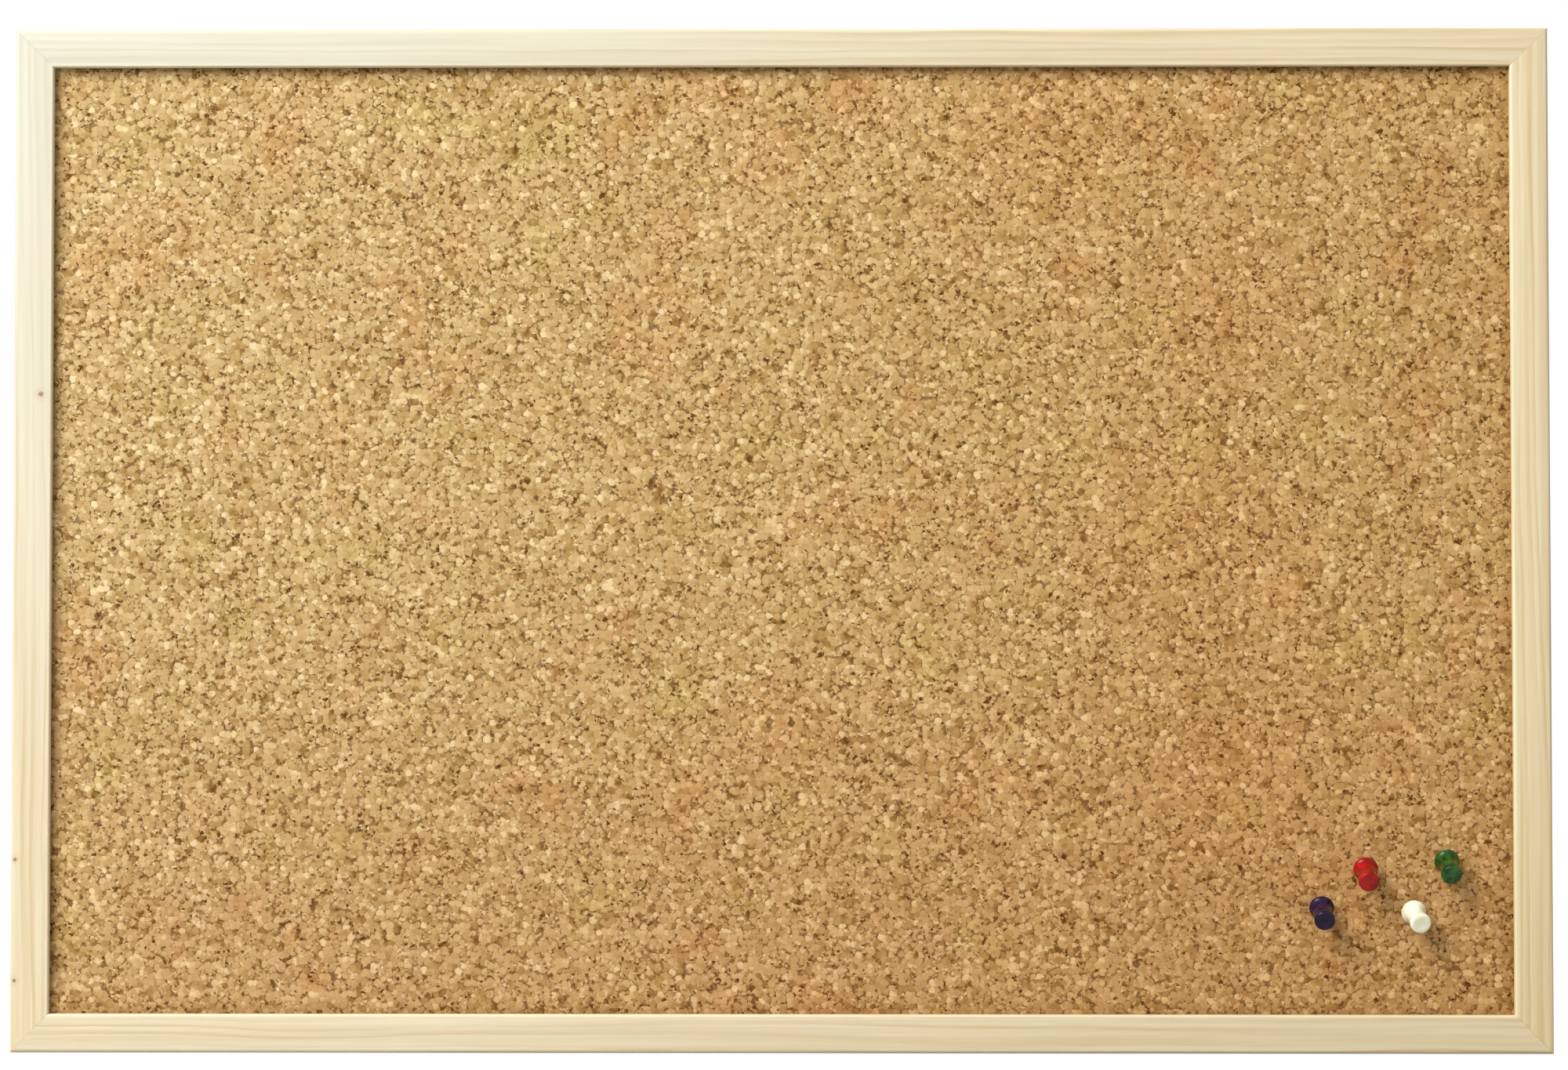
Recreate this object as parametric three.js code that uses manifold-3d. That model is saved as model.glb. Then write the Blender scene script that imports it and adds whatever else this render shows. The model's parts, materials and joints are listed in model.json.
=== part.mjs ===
// A framed cork pinboard with four push pins, made as separate pieces.
//
// Lengths are in millimetres. X runs across the board, Z points up and -Y faces the room.
// The origin is the middle of the board on the wall plane, where the back pads touch.

import * as THREE from 'three';
import { mergeVertices } from 'three/addons/utils/BufferGeometryUtils.js';
import Module from 'manifold-3d';

// Whole board
const BOARD_WIDTH = 600;
const BOARD_HEIGHT = 400;

// Clearances
const SEAT_GAP = 0.3; // between two pieces that touch or are glued
const PANEL_EDGE_GAP = 0.5; // between the panel's edge and the rabbet wall
const MITRE_GAP = 0.3; // between the two rails of a corner
const CUT_OVERRUN = 1; // how far a cut runs past the face that it opens

// Frame moulding
const RAIL_FACE = 15;
const LIP_THICKNESS = 3; // wood in front of the cork
const LIP_OVERLAP = 5; // how far the lip covers the panel
const OUTER_ROUND = 2;
const INNER_ROUND = 0.8;
const BACK_CHAMFER = 0.6;
const BACK_RECESS = 1.2; // wood that stands behind the panel points

// Panel
const CORK_THICKNESS = 2;
const CORE_THICKNESS = 7.5;
const BACKING_THICKNESS = 2;

// Corner nails: thin steel angles driven across each mitre from the back
const NAIL_THICKNESS = 0.6;
const NAIL_LEG = 3.6;
const NAIL_HEIGHT = 7;
const NAIL_SINK = 0.4; // below the back of the frame
const NAILS_PER_CORNER = 2;

// Panel points: flat steel tongues pushed into the rabbet wall behind the panel
const POINT_THICKNESS = 0.5;
const POINT_WIDTH = 5.5;
const POINT_COVER = 4.5; // wood left outside the buried tip
const POINT_REACH = 6.5; // length over the panel
const POINT_TAPER_SHARE = 0.45; // share of the buried length that tapers
const POINT_PLACE_SHARES = {
  top: [-0.33, 0, 0.33],
  right: [-0.2, 0.2],
  bottom: [-0.33, 0, 0.33],
  left: [-0.2, 0.2],
};

// Wall pads
const PAD_RADIUS = 4.5;
const PAD_THICKNESS = 4;
const PAD_EDGE = 0.7; // chamfer round the face that meets the wall
const PAD_END_INSET = 40; // from the board's side to the pad's middle

// Hangers: a strap with a rolled eye, a wire ring in the eye and a wood screw
const HANGER_DROP = 60; // from the board's top to the eye
const STRAP_WIDTH = 7;
const STRAP_MARGIN = 0.3; // from the strap's edge to the rabbet
const STRAP_TAIL = 5.4; // from the screw's middle to the strap's end
const STRAP_THICKNESS = 0.8;
const STRAP_CORNER = 2.2;
const EYE_OPEN_DEGREES = 95; // where the rolled end stops, counted below the eye's back
const WIRE_RADIUS = 0.7;
const WIRE_CLEARANCE = 0.2; // round the wire in the eye
const RING_SIDE_GAP = 0.5; // between the strap's edge and the ring's wire
const RING_HEIGHT = 10; // from the bar's middle to the bow's middle
const RING_CORNER = 1.5;
const RING_SPLIT = 0.6; // the wire's two ends meet inside the eye

// Hanger screw
const SCREW_RING_GAP = 0.5; // between the hanging ring and the screw's head
const SCREW_HEAD_RADIUS = 2.4;
const SCREW_HEAD_HEIGHT = 1.5;
const SCREW_HEAD_EDGE = 0.6;
const SCREW_SHANK_RADIUS = 1.2;
const SCREW_LENGTH = 10; // below the head
const SCREW_TIP = 2;
const SCREW_RECESS_LENGTH = 2.6;
const SCREW_RECESS_WIDTH = 0.6;
const SCREW_RECESS_DEPTH = 0.8;

// Push pins
const FLANGE_RADIUS = 4.8;
const HEAD_HEIGHT = 12.5;
const NEEDLE_RADIUS = 0.55;
const NEEDLE_TIP = 2;
const NEEDLE_ROOT = 6; // length inside the head
const NEEDLE_SOCKET_GAP = 0.2;
const TIP_COVER = 0.6; // core left behind the tip of a pin that stands upright
// Each pair is a radius as a share of the flange's and a height as a share of the head's.
const HEAD_OUTLINE_SHARES = [
  [0.93, 0],
  [1, 0.035],
  [1, 0.085],
  [0.92, 0.13],
  [0.73, 0.2],
  [0.62, 0.29],
  [0.57, 0.42],
  [0.58, 0.56],
  [0.65, 0.68],
  [0.75, 0.78],
  [0.82, 0.85],
  [0.82, 0.93],
  [0.74, 0.98],
];
// Where each needle enters, as shares of the cork opening, and how far its head droops and leans right.
const PINS = [
  { colour: 'blue', acrossShare: 0.369, upShare: -0.385, droop: 21, lean: -3, paint: 0x2b1f4a },
  { colour: 'red', acrossShare: 0.399, upShare: -0.344, droop: 22, lean: -3, paint: 0xb01f1f },
  { colour: 'green', acrossShare: 0.454, upShare: -0.335, droop: 24, lean: -1, paint: 0x1f5a26 },
  { colour: 'white', acrossShare: 0.431, upShare: -0.39, droop: 18, lean: 4, paint: 0xf3efd2 },
];

// Facets
const ROUND_SEGMENTS = 3;
const PIN_SEGMENTS = 20;
const NEEDLE_SEGMENTS = 10;
const PAD_SEGMENTS = 24;
const SCREW_SEGMENTS = 16;
const EYE_SEGMENTS = 7;
const WIRE_SIDES = 8;
const RING_STEPS = 44;
const MERGE_DISTANCE = 0.00001;

// Depths, counted from the front face of the frame
const corkFront = LIP_THICKNESS + SEAT_GAP;
const corkBack = corkFront + CORK_THICKNESS;
const coreFront = corkBack + SEAT_GAP;
const coreBack = coreFront + CORE_THICKNESS;
const backingFront = coreBack + SEAT_GAP;
const backingBack = backingFront + BACKING_THICKNESS;
const pointFront = backingBack + SEAT_GAP;
const pointBack = pointFront + POINT_THICKNESS;
const frameDepth = pointBack + BACK_RECESS;

// Places worked out from the sizes
const frameBackY = -(PAD_THICKNESS + SEAT_GAP);
const frameFrontY = frameBackY - frameDepth;
const rabbetInset = RAIL_FACE - LIP_OVERLAP;
const openingWidth = BOARD_WIDTH - 2 * RAIL_FACE;
const openingHeight = BOARD_HEIGHT - 2 * RAIL_FACE;
const panelWidth = BOARD_WIDTH - 2 * (rabbetInset + PANEL_EDGE_GAP);
const panelHeight = BOARD_HEIGHT - 2 * (rabbetInset + PANEL_EDGE_GAP);
const pointBury = rabbetInset - POINT_COVER;
const eyeBoreRadius = WIRE_RADIUS + WIRE_CLEARANCE;
const eyeOuterRadius = eyeBoreRadius + STRAP_THICKNESS;
const ringHalfWidth = STRAP_WIDTH / 2 + RING_SIDE_GAP + WIRE_RADIUS;
const screwDrop = RING_HEIGHT + WIRE_RADIUS + SCREW_RING_GAP + SCREW_HEAD_RADIUS;
const strapLength = screwDrop + STRAP_TAIL;
const hangerInset = rabbetInset - STRAP_MARGIN - STRAP_WIDTH / 2;
const hangerHeight = BOARD_HEIGHT / 2 - HANGER_DROP;
const needleLength = coreBack - corkFront - TIP_COVER + SEAT_GAP;

const QUARTER_TURN = Math.PI / 2;

const wasm = await Module();
wasm.setup();

// Solids

function toSolid(geometry) {
  const bare = geometry.clone();
  bare.deleteAttribute('normal');
  bare.deleteAttribute('uv');
  const merged = mergeVertices(bare, MERGE_DISTANCE);
  const index = merged.index.array;
  const kept = [];
  for (let i = 0; i < index.length; i += 3) {
    const [a, b, c] = [index[i], index[i + 1], index[i + 2]];
    if (a !== b && b !== c && c !== a) kept.push(a, b, c);
  }
  const vertProperties = new Float32Array(merged.attributes.position.array);
  const triVerts = new Uint32Array(kept);
  return new wasm.Manifold(new wasm.Mesh({ numProp: 3, vertProperties, triVerts }));
}

function toGeometry(solid) {
  const mesh = solid.getMesh();
  const geometry = new THREE.BufferGeometry();
  geometry.setAttribute('position', new THREE.BufferAttribute(mesh.vertProperties, 3));
  geometry.setIndex(new THREE.BufferAttribute(mesh.triVerts, 1));
  return geometry;
}

function cut(geometry, cutters) {
  const solid = cutters.reduce((left, cutter) => left.subtract(toSolid(cutter)), toSolid(geometry));
  return toGeometry(solid);
}

// A closed outline turned about the Y axis, with its points going up the outside.
function turned(points, segments) {
  return new THREE.LatheGeometry(points.map(([r, y]) => new THREE.Vector2(r, y)), segments);
}

function extruded(shape, depth, curveSegments = 1) {
  return new THREE.ExtrudeGeometry(shape, { depth, bevelEnabled: false, steps: 1, curveSegments });
}

function outline(points) {
  return new THREE.Shape(points.map(([x, y]) => new THREE.Vector2(x, y)));
}

function block(width, depth, height) {
  return new THREE.BoxGeometry(width, depth, height);
}

// Materials

function finish(color, roughness, metalness = 0) {
  return () => new THREE.MeshStandardMaterial({ color, roughness, metalness, flatShading: true });
}

const pine = finish(0xecd9ac, 0.6);
const cork = finish(0xc39a60, 0.9);
const fibreboard = finish(0xa98c63, 0.95);
const hardboard = finish(0x7a5335, 0.7);
const steel = finish(0xb4b6b8, 0.35, 1);
const zinc = finish(0xc9c6b8, 0.3, 1);
const rubber = finish(0x34332f, 0.85);

// The board's pieces

const pinboard = new THREE.Group();

function addPiece(name, geometry, material, parent = pinboard) {
  const mesh = new THREE.Mesh(geometry, material());
  mesh.name = name;
  parent.add(mesh);
  return mesh;
}

// Frame rails. Each is made as the top rail is, with its outer edge up, then turned to its side.

const sides = [
  { side: 'top', turns: 0, length: BOARD_WIDTH, half: BOARD_HEIGHT / 2 },
  { side: 'right', turns: 1, length: BOARD_HEIGHT, half: BOARD_WIDTH / 2 },
  { side: 'bottom', turns: 2, length: BOARD_WIDTH, half: BOARD_HEIGHT / 2 },
  { side: 'left', turns: 3, length: BOARD_HEIGHT, half: BOARD_WIDTH / 2 },
];

// X is the distance in from the outer edge and Y the depth from the front.
function railOutline() {
  const shape = new THREE.Shape();
  const inner = RAIL_FACE - INNER_ROUND;
  shape.moveTo(OUTER_ROUND, 0);
  shape.lineTo(inner, 0);
  shape.absarc(inner, INNER_ROUND, INNER_ROUND, -QUARTER_TURN, 0, false);
  shape.lineTo(RAIL_FACE, LIP_THICKNESS);
  shape.lineTo(rabbetInset, LIP_THICKNESS);
  shape.lineTo(rabbetInset, frameDepth);
  shape.lineTo(BACK_CHAMFER, frameDepth);
  shape.lineTo(0, frameDepth - BACK_CHAMFER);
  shape.lineTo(0, OUTER_ROUND);
  shape.absarc(OUTER_ROUND, OUTER_ROUND, OUTER_ROUND, 2 * QUARTER_TURN, 3 * QUARTER_TURN, false);
  return shape;
}

function mitredRail(length, half) {
  const rail = extruded(railOutline(), length, ROUND_SEGMENTS);
  const setback = MITRE_GAP / Math.SQRT2;
  const position = rail.attributes.position;
  for (let i = 0; i < position.count; i += 1) {
    const inset = position.getX(i) + setback;
    const atFarEnd = position.getZ(i) > length / 2;
    position.setZ(i, atFarEnd ? length - inset : inset);
  }
  rail.rotateY(QUARTER_TURN);
  rail.translate(-length / 2, frameFrontY, half);
  return rail;
}

// An angle with its legs along the two rails of the top left corner, bent at the origin.
function cornerNail(clearance, back) {
  const h = NAIL_THICKNESS / 2 + clearance;
  const leg = NAIL_LEG + clearance;
  const shape = outline([[-h, -h], [leg, -h], [leg, h], [h, h], [h, leg], [-h, leg]]);
  const front = frameDepth - NAIL_SINK - NAIL_HEIGHT - clearance;
  const nail = extruded(shape, back - front);
  nail.rotateX(-QUARTER_TURN);
  nail.translate(0, frameFrontY + front, 0);
  return nail;
}

// How far each of a corner's nails stands in from both outer edges, spread over the rail's back.
const nailInsets = Array.from(
  { length: NAILS_PER_CORNER },
  (_, i) => (rabbetInset * (i + 1)) / (NAILS_PER_CORNER + 1),
);

function nailSlots(length, half) {
  return nailInsets.flatMap((inset) => {
    const leftEnd = cornerNail(SEAT_GAP, frameDepth + CUT_OVERRUN);
    const rightEnd = cornerNail(SEAT_GAP, frameDepth + CUT_OVERRUN).rotateY(QUARTER_TURN);
    leftEnd.translate(inset - length / 2, 0, half - inset);
    rightEnd.translate(length / 2 - inset, 0, half - inset);
    return [leftEnd, rightEnd];
  });
}

function pointSlot(along, half) {
  const thickness = POINT_THICKNESS + 2 * SEAT_GAP;
  const depth = pointBury + SEAT_GAP + CUT_OVERRUN;
  const slot = block(POINT_WIDTH + 2 * SEAT_GAP, thickness, depth);
  const middleY = frameFrontY + (pointFront + pointBack) / 2;
  slot.translate(along, middleY, half - rabbetInset - CUT_OVERRUN + depth / 2);
  return slot;
}

// The hole for a hanger's screw, from the back of a stile. The stile lies as the top rail does.
function screwHole(along, half) {
  const radius = SCREW_SHANK_RADIUS + SEAT_GAP;
  const depth = SCREW_LENGTH - STRAP_THICKNESS - SEAT_GAP;
  const hole = new THREE.CylinderGeometry(radius, radius, depth + CUT_OVERRUN, SCREW_SEGMENTS);
  hole.translate(along, frameBackY - depth + (depth + CUT_OVERRUN) / 2, half - hangerInset);
  return hole;
}

for (const { side, turns, length, half } of sides) {
  const cutters = nailSlots(length, half);
  const points = POINT_PLACE_SHARES[side].map((share) => share * length);
  cutters.push(...points.map((along) => pointSlot(along, half)));
  if (side === 'left') cutters.push(screwHole(hangerHeight - screwDrop, half));
  if (side === 'right') cutters.push(screwHole(screwDrop - hangerHeight, half));
  const rail = addPiece(`frame_${side}`, cut(mitredRail(length, half), cutters), pine);
  rail.rotation.y = turns * QUARTER_TURN;
}

// Corner nails

const corners = [
  { corner: 'top_left', turns: 0, across: -1, up: 1 },
  { corner: 'top_right', turns: 1, across: 1, up: 1 },
  { corner: 'bottom_right', turns: 2, across: 1, up: -1 },
  { corner: 'bottom_left', turns: 3, across: -1, up: -1 },
];

for (const { corner, turns, across, up } of corners) {
  nailInsets.forEach((inset, i) => {
    const geometry = cornerNail(0, frameDepth - NAIL_SINK);
    const nail = addPiece(`corner_nail_${corner}_${i + 1}`, geometry, steel);
    nail.rotation.y = turns * QUARTER_TURN;
    nail.position.x = across * (BOARD_WIDTH / 2 - inset);
    nail.position.z = up * (BOARD_HEIGHT / 2 - inset);
  });
}

// Panel points, each drawn pointing out of the board towards the top rail

function panelPoint() {
  const w = POINT_WIDTH / 2;
  const shoulder = pointBury * (1 - POINT_TAPER_SHARE);
  const shape = outline([
    [-w, -POINT_REACH],
    [w, -POINT_REACH],
    [w, shoulder],
    [0, pointBury],
    [-w, shoulder],
  ]);
  const point = extruded(shape, POINT_THICKNESS);
  point.rotateX(QUARTER_TURN);
  return point;
}

for (const { side, turns, length, half } of sides) {
  const turnedSide = new THREE.Group();
  turnedSide.rotation.y = turns * QUARTER_TURN;
  pinboard.add(turnedSide);
  POINT_PLACE_SHARES[side].forEach((share, i) => {
    const point = addPiece(`panel_point_${side}_${i + 1}`, panelPoint(), steel, turnedSide);
    point.position.set(share * length, frameFrontY + pointBack, half - rabbetInset);
  });
}

// Push pins: where each one stands and how it leans

function pinPose({ acrossShare, upShare, droop, lean }) {
  const across = Math.tan(THREE.MathUtils.degToRad(lean));
  const down = Math.tan(THREE.MathUtils.degToRad(droop));
  const axis = new THREE.Vector3(across, -1, -down).normalize();
  const tilt = axis.angleTo(new THREE.Vector3(0, -1, 0));
  const entry = new THREE.Vector3(
    acrossShare * openingWidth,
    frameFrontY + corkFront,
    upShare * openingHeight,
  );
  const standoff = (FLANGE_RADIUS * Math.sin(tilt) + SEAT_GAP) / Math.cos(tilt);
  const place = entry.addScaledVector(axis, standoff);
  const turn = new THREE.Quaternion().setFromUnitVectors(new THREE.Vector3(0, 1, 0), axis);
  return { place, turn };
}

// A hole round a pin's needle, in the board's own frame.
function needleHole(pin) {
  const { place, turn } = pinPose(pin);
  const radius = NEEDLE_RADIUS + SEAT_GAP;
  const depth = needleLength + SEAT_GAP;
  const hole = new THREE.CylinderGeometry(radius, radius, depth, NEEDLE_SEGMENTS);
  hole.translate(0, -depth / 2, 0);
  hole.applyMatrix4(new THREE.Matrix4().compose(place, turn, new THREE.Vector3(1, 1, 1)));
  return hole;
}

// Panel layers

function panelLayer(front, back) {
  const layer = block(panelWidth, back - front, panelHeight);
  layer.translate(0, frameFrontY + (front + back) / 2, 0);
  return layer;
}

addPiece('cork_sheet', cut(panelLayer(corkFront, corkBack), PINS.map(needleHole)), cork);
addPiece('core_board', cut(panelLayer(coreFront, coreBack), PINS.map(needleHole)), fibreboard);
addPiece('backing_board', panelLayer(backingFront, backingBack), hardboard);

// Wall pads

function wallPad() {
  return turned(
    [
      [0, -PAD_THICKNESS],
      [PAD_RADIUS, -PAD_THICKNESS],
      [PAD_RADIUS, -PAD_EDGE],
      [PAD_RADIUS - PAD_EDGE, 0],
      [0, 0],
    ],
    PAD_SEGMENTS,
  );
}

for (const { corner, across, up } of corners) {
  const pad = addPiece(`wall_pad_${corner}`, wallPad(), rubber);
  pad.position.x = across * (BOARD_WIDTH / 2 - PAD_END_INSET);
  pad.position.z = up * (BOARD_HEIGHT / 2 - rabbetInset / 2);
}

// Hangers. Each is drawn with its eye's middle above the origin and its strap's front at Y zero.

function strapSide() {
  const shape = new THREE.Shape();
  const end = -THREE.MathUtils.degToRad(EYE_OPEN_DEGREES);
  shape.moveTo(0, -strapLength);
  shape.lineTo(0, 0);
  shape.absarc(eyeOuterRadius, 0, eyeOuterRadius, Math.PI, end, true);
  shape.absarc(eyeOuterRadius, 0, eyeBoreRadius, end, Math.PI, false);
  shape.lineTo(STRAP_THICKNESS, -strapLength);
  const strap = extruded(shape, STRAP_WIDTH, EYE_SEGMENTS);
  // The outline's X becomes the distance from the frame, and its Y the height.
  strap.rotateX(QUARTER_TURN).rotateZ(QUARTER_TURN);
  strap.translate(-STRAP_WIDTH / 2, 0, 0);
  return strap;
}

function strapFace() {
  const w = STRAP_WIDTH / 2;
  const low = STRAP_CORNER - strapLength;
  const top = eyeOuterRadius + CUT_OVERRUN;
  const shape = new THREE.Shape();
  shape.moveTo(-w - CUT_OVERRUN, top);
  shape.lineTo(-w - CUT_OVERRUN, low);
  shape.lineTo(-w, low);
  shape.absarc(STRAP_CORNER - w, low, STRAP_CORNER, Math.PI, 3 * QUARTER_TURN, false);
  shape.absarc(w - STRAP_CORNER, low, STRAP_CORNER, 3 * QUARTER_TURN, 4 * QUARTER_TURN, false);
  shape.lineTo(w + CUT_OVERRUN, low);
  shape.lineTo(w + CUT_OVERRUN, top);
  const depth = 2 * (eyeOuterRadius + CUT_OVERRUN);
  const face = extruded(shape, depth, ROUND_SEGMENTS);
  face.rotateX(QUARTER_TURN);
  face.translate(0, depth - CUT_OVERRUN, 0);
  return face;
}

function hangerStrap() {
  const radius = SCREW_SHANK_RADIUS + SEAT_GAP;
  const hole = new THREE.CylinderGeometry(radius, radius, 2 * strapLength, SCREW_SEGMENTS);
  hole.translate(0, 0, -screwDrop);
  const solid = toSolid(strapSide()).intersect(toSolid(strapFace())).subtract(toSolid(hole));
  return toGeometry(solid);
}

// A curve that follows a flat path in the XZ plane.
class UprightCurve extends THREE.Curve {
  constructor(path) {
    super();
    this.path = path;
  }

  getPoint(t, target = new THREE.Vector3()) {
    const { x, y } = this.path.getPoint(t);
    return target.set(x, 0, y);
  }
}

// A D of wire that hangs from its straight bar, with the bar's middle at the origin.
function hangerRing() {
  const w = ringHalfWidth;
  const r = RING_CORNER;
  const bowTop = w - RING_HEIGHT;
  const path = new THREE.Path();
  path.moveTo(RING_SPLIT / 2, 0);
  path.lineTo(w - r, 0);
  path.absarc(w - r, -r, r, QUARTER_TURN, 0, true);
  path.lineTo(w, bowTop);
  path.absarc(0, bowTop, w, 0, -Math.PI, true);
  path.lineTo(-w, -r);
  path.absarc(r - w, -r, r, Math.PI, QUARTER_TURN, true);
  path.lineTo(-RING_SPLIT / 2, 0);
  const section = outline(
    Array.from({ length: WIRE_SIDES }, (_, i) => {
      const angle = (i / WIRE_SIDES) * 2 * Math.PI;
      return [WIRE_RADIUS * Math.cos(angle), WIRE_RADIUS * Math.sin(angle)];
    }),
  );
  return new THREE.ExtrudeGeometry(section, {
    steps: RING_STEPS,
    extrudePath: new UprightCurve(path),
    bevelEnabled: false,
  });
}

// A wood screw with its head's underside at Y zero and its tip towards the wood.
function hangerScrew() {
  const body = turned(
    [
      [0, -SCREW_LENGTH],
      [SCREW_SHANK_RADIUS, SCREW_TIP - SCREW_LENGTH],
      [SCREW_SHANK_RADIUS, 0],
      [SCREW_HEAD_RADIUS, 0],
      [SCREW_HEAD_RADIUS, SCREW_HEAD_HEIGHT - SCREW_HEAD_EDGE],
      [SCREW_HEAD_RADIUS - SCREW_HEAD_EDGE, SCREW_HEAD_HEIGHT],
      [0, SCREW_HEAD_HEIGHT],
    ],
    SCREW_SEGMENTS,
  );
  const depth = SCREW_RECESS_DEPTH + CUT_OVERRUN;
  const middle = SCREW_HEAD_HEIGHT - SCREW_RECESS_DEPTH + depth / 2;
  const slots = [0, 1].map((turns) => {
    const slot = block(SCREW_RECESS_LENGTH, depth, SCREW_RECESS_WIDTH);
    return slot.rotateY(turns * QUARTER_TURN).translate(0, middle, 0);
  });
  return cut(body, slots);
}

for (const [side, across] of [['left', -1], ['right', 1]]) {
  const hanger = new THREE.Group();
  hanger.position.x = across * (BOARD_WIDTH / 2 - hangerInset);
  hanger.position.y = frameBackY + SEAT_GAP;
  hanger.position.z = hangerHeight;
  pinboard.add(hanger);
  addPiece(`hanger_strap_${side}`, hangerStrap(), zinc, hanger);
  const ring = addPiece(`hanger_ring_${side}`, hangerRing(), zinc, hanger);
  ring.position.y = eyeOuterRadius;
  const screw = addPiece(`hanger_screw_${side}`, hangerScrew(), steel, hanger);
  screw.position.y = STRAP_THICKNESS + SEAT_GAP;
  screw.position.z = -screwDrop;
}

// Push pins. Each is drawn standing on its flange, with the needle pointing down.

function pinHead() {
  const socketRadius = NEEDLE_RADIUS + NEEDLE_SOCKET_GAP;
  const socketTop = NEEDLE_ROOT + NEEDLE_SOCKET_GAP;
  const socket = [[0, socketTop], [socketRadius, socketTop], [socketRadius, 0]];
  const outside = HEAD_OUTLINE_SHARES.map(([r, y]) => [r * FLANGE_RADIUS, y * HEAD_HEIGHT]);
  return turned([...socket, ...outside, [0, HEAD_HEIGHT]], PIN_SEGMENTS);
}

function pinNeedle() {
  return turned(
    [
      [0, -needleLength],
      [NEEDLE_RADIUS, NEEDLE_TIP - needleLength],
      [NEEDLE_RADIUS, NEEDLE_ROOT],
      [0, NEEDLE_ROOT],
    ],
    NEEDLE_SEGMENTS,
  );
}

for (const pin of PINS) {
  const { place, turn } = pinPose(pin);
  const group = new THREE.Group();
  group.position.copy(place);
  group.quaternion.copy(turn);
  pinboard.add(group);
  addPiece(`pin_head_${pin.colour}`, pinHead(), finish(pin.paint, 0.25), group);
  addPiece(`pin_needle_${pin.colour}`, pinNeedle(), steel, group);
}

export default pinboard;
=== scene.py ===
"""The looks of a framed cork pinboard with four push pins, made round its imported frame.

The axes are the frame's own: X runs across the board, Z points up and -Y faces the room.
Meshes are in metres, with sizes written as millimetres times MM. Finishes count in millimetres.
"""

import json
import math

import bmesh
import bpy
import numpy as np
from mathutils import Matrix, Vector


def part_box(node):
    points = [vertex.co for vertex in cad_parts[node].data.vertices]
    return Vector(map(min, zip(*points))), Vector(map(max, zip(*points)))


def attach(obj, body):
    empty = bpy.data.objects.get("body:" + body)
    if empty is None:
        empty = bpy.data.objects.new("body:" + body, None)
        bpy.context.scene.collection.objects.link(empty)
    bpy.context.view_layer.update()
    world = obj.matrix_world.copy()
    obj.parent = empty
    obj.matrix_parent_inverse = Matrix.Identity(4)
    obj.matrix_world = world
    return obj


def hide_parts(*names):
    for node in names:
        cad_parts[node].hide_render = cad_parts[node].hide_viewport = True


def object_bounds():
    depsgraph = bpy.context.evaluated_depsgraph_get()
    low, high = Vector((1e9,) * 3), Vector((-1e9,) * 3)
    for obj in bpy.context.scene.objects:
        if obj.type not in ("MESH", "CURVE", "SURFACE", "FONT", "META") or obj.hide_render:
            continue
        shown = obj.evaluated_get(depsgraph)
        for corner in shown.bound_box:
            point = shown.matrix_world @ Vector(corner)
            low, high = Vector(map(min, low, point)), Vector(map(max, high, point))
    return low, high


MM = 0.001
TURN = math.radians(90)
SIDES = ["top", "right", "bottom", "left"]
HANDS = ["left", "right"]
CREASE_DEGREES = 35  # from this angle up, an edge shows as a crease
TURNED_CREASE_DEGREES = 50
SCREW_CREASE_DEGREES = 40
CORK_CREASE_DEGREES = 75
CORNERS = {"top_left": (-1, 1), "top_right": (1, 1), "bottom_right": (1, -1), "bottom_left": (-1, -1)}

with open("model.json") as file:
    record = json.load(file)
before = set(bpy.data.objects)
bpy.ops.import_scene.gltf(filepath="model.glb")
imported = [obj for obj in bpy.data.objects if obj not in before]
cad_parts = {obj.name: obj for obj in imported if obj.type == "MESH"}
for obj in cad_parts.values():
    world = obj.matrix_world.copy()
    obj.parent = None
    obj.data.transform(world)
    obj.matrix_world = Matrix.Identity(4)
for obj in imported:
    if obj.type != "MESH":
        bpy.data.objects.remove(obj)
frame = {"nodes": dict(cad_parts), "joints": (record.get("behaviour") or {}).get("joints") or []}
cad_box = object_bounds()


# Node trees

def srgb(red, green, blue):
    """A colour written as a screen shows it, as the linear values that a shader takes."""
    shares = [v / 255 for v in (red, green, blue)]
    return [v / 12.92 if v <= 0.04045 else ((v + 0.055) / 1.055) ** 2.4 for v in shares] + [1.0]


WHITE = srgb(255, 255, 255)


def put(socket, value):
    """Gives an input a value, or links another node's output to it."""
    if isinstance(value, bpy.types.NodeSocket):
        socket.id_data.links.new(value, socket)
    else:
        socket.default_value = value


def new_node(tree, kind, inputs=(), **settings):
    """A node with its settings, and with values or links for its inputs."""
    made = tree.nodes.new(kind)
    for key, value in settings.items():
        setattr(made, key, value)
    for key, value in dict(inputs).items():
        put(made.inputs[key], value)
    return made


def node_after(kind, inputs, **settings):
    """A node in the tree that its inputs come from."""
    tree = next(v.id_data for v in inputs.values() if isinstance(v, bpy.types.NodeSocket))
    return new_node(tree, kind, inputs, **settings)


def compute(operation, a, b=0.0, c=0.0):
    return node_after("ShaderNodeMath", {0: a, 1: b, 2: c}, operation=operation).outputs[0]


def add(a, b):
    return compute("ADD", a, b)


def times(a, b):
    return compute("MULTIPLY", a, b)


def less(a, b):
    return compute("SUBTRACT", a, b)


def vector(operation, a, b=(0.0, 0.0, 0.0)):
    return node_after("ShaderNodeVectorMath", {0: a, 1: b}, operation=operation).outputs[0]


def length(way):
    return node_after("ShaderNodeVectorMath", {0: way}, operation="LENGTH").outputs["Value"]


def split(place):
    return node_after("ShaderNodeSeparateXYZ", {0: place}).outputs


def joined(x, y, z):
    return node_after("ShaderNodeCombineXYZ", {0: x, 1: y, 2: z}).outputs[0]


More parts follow.
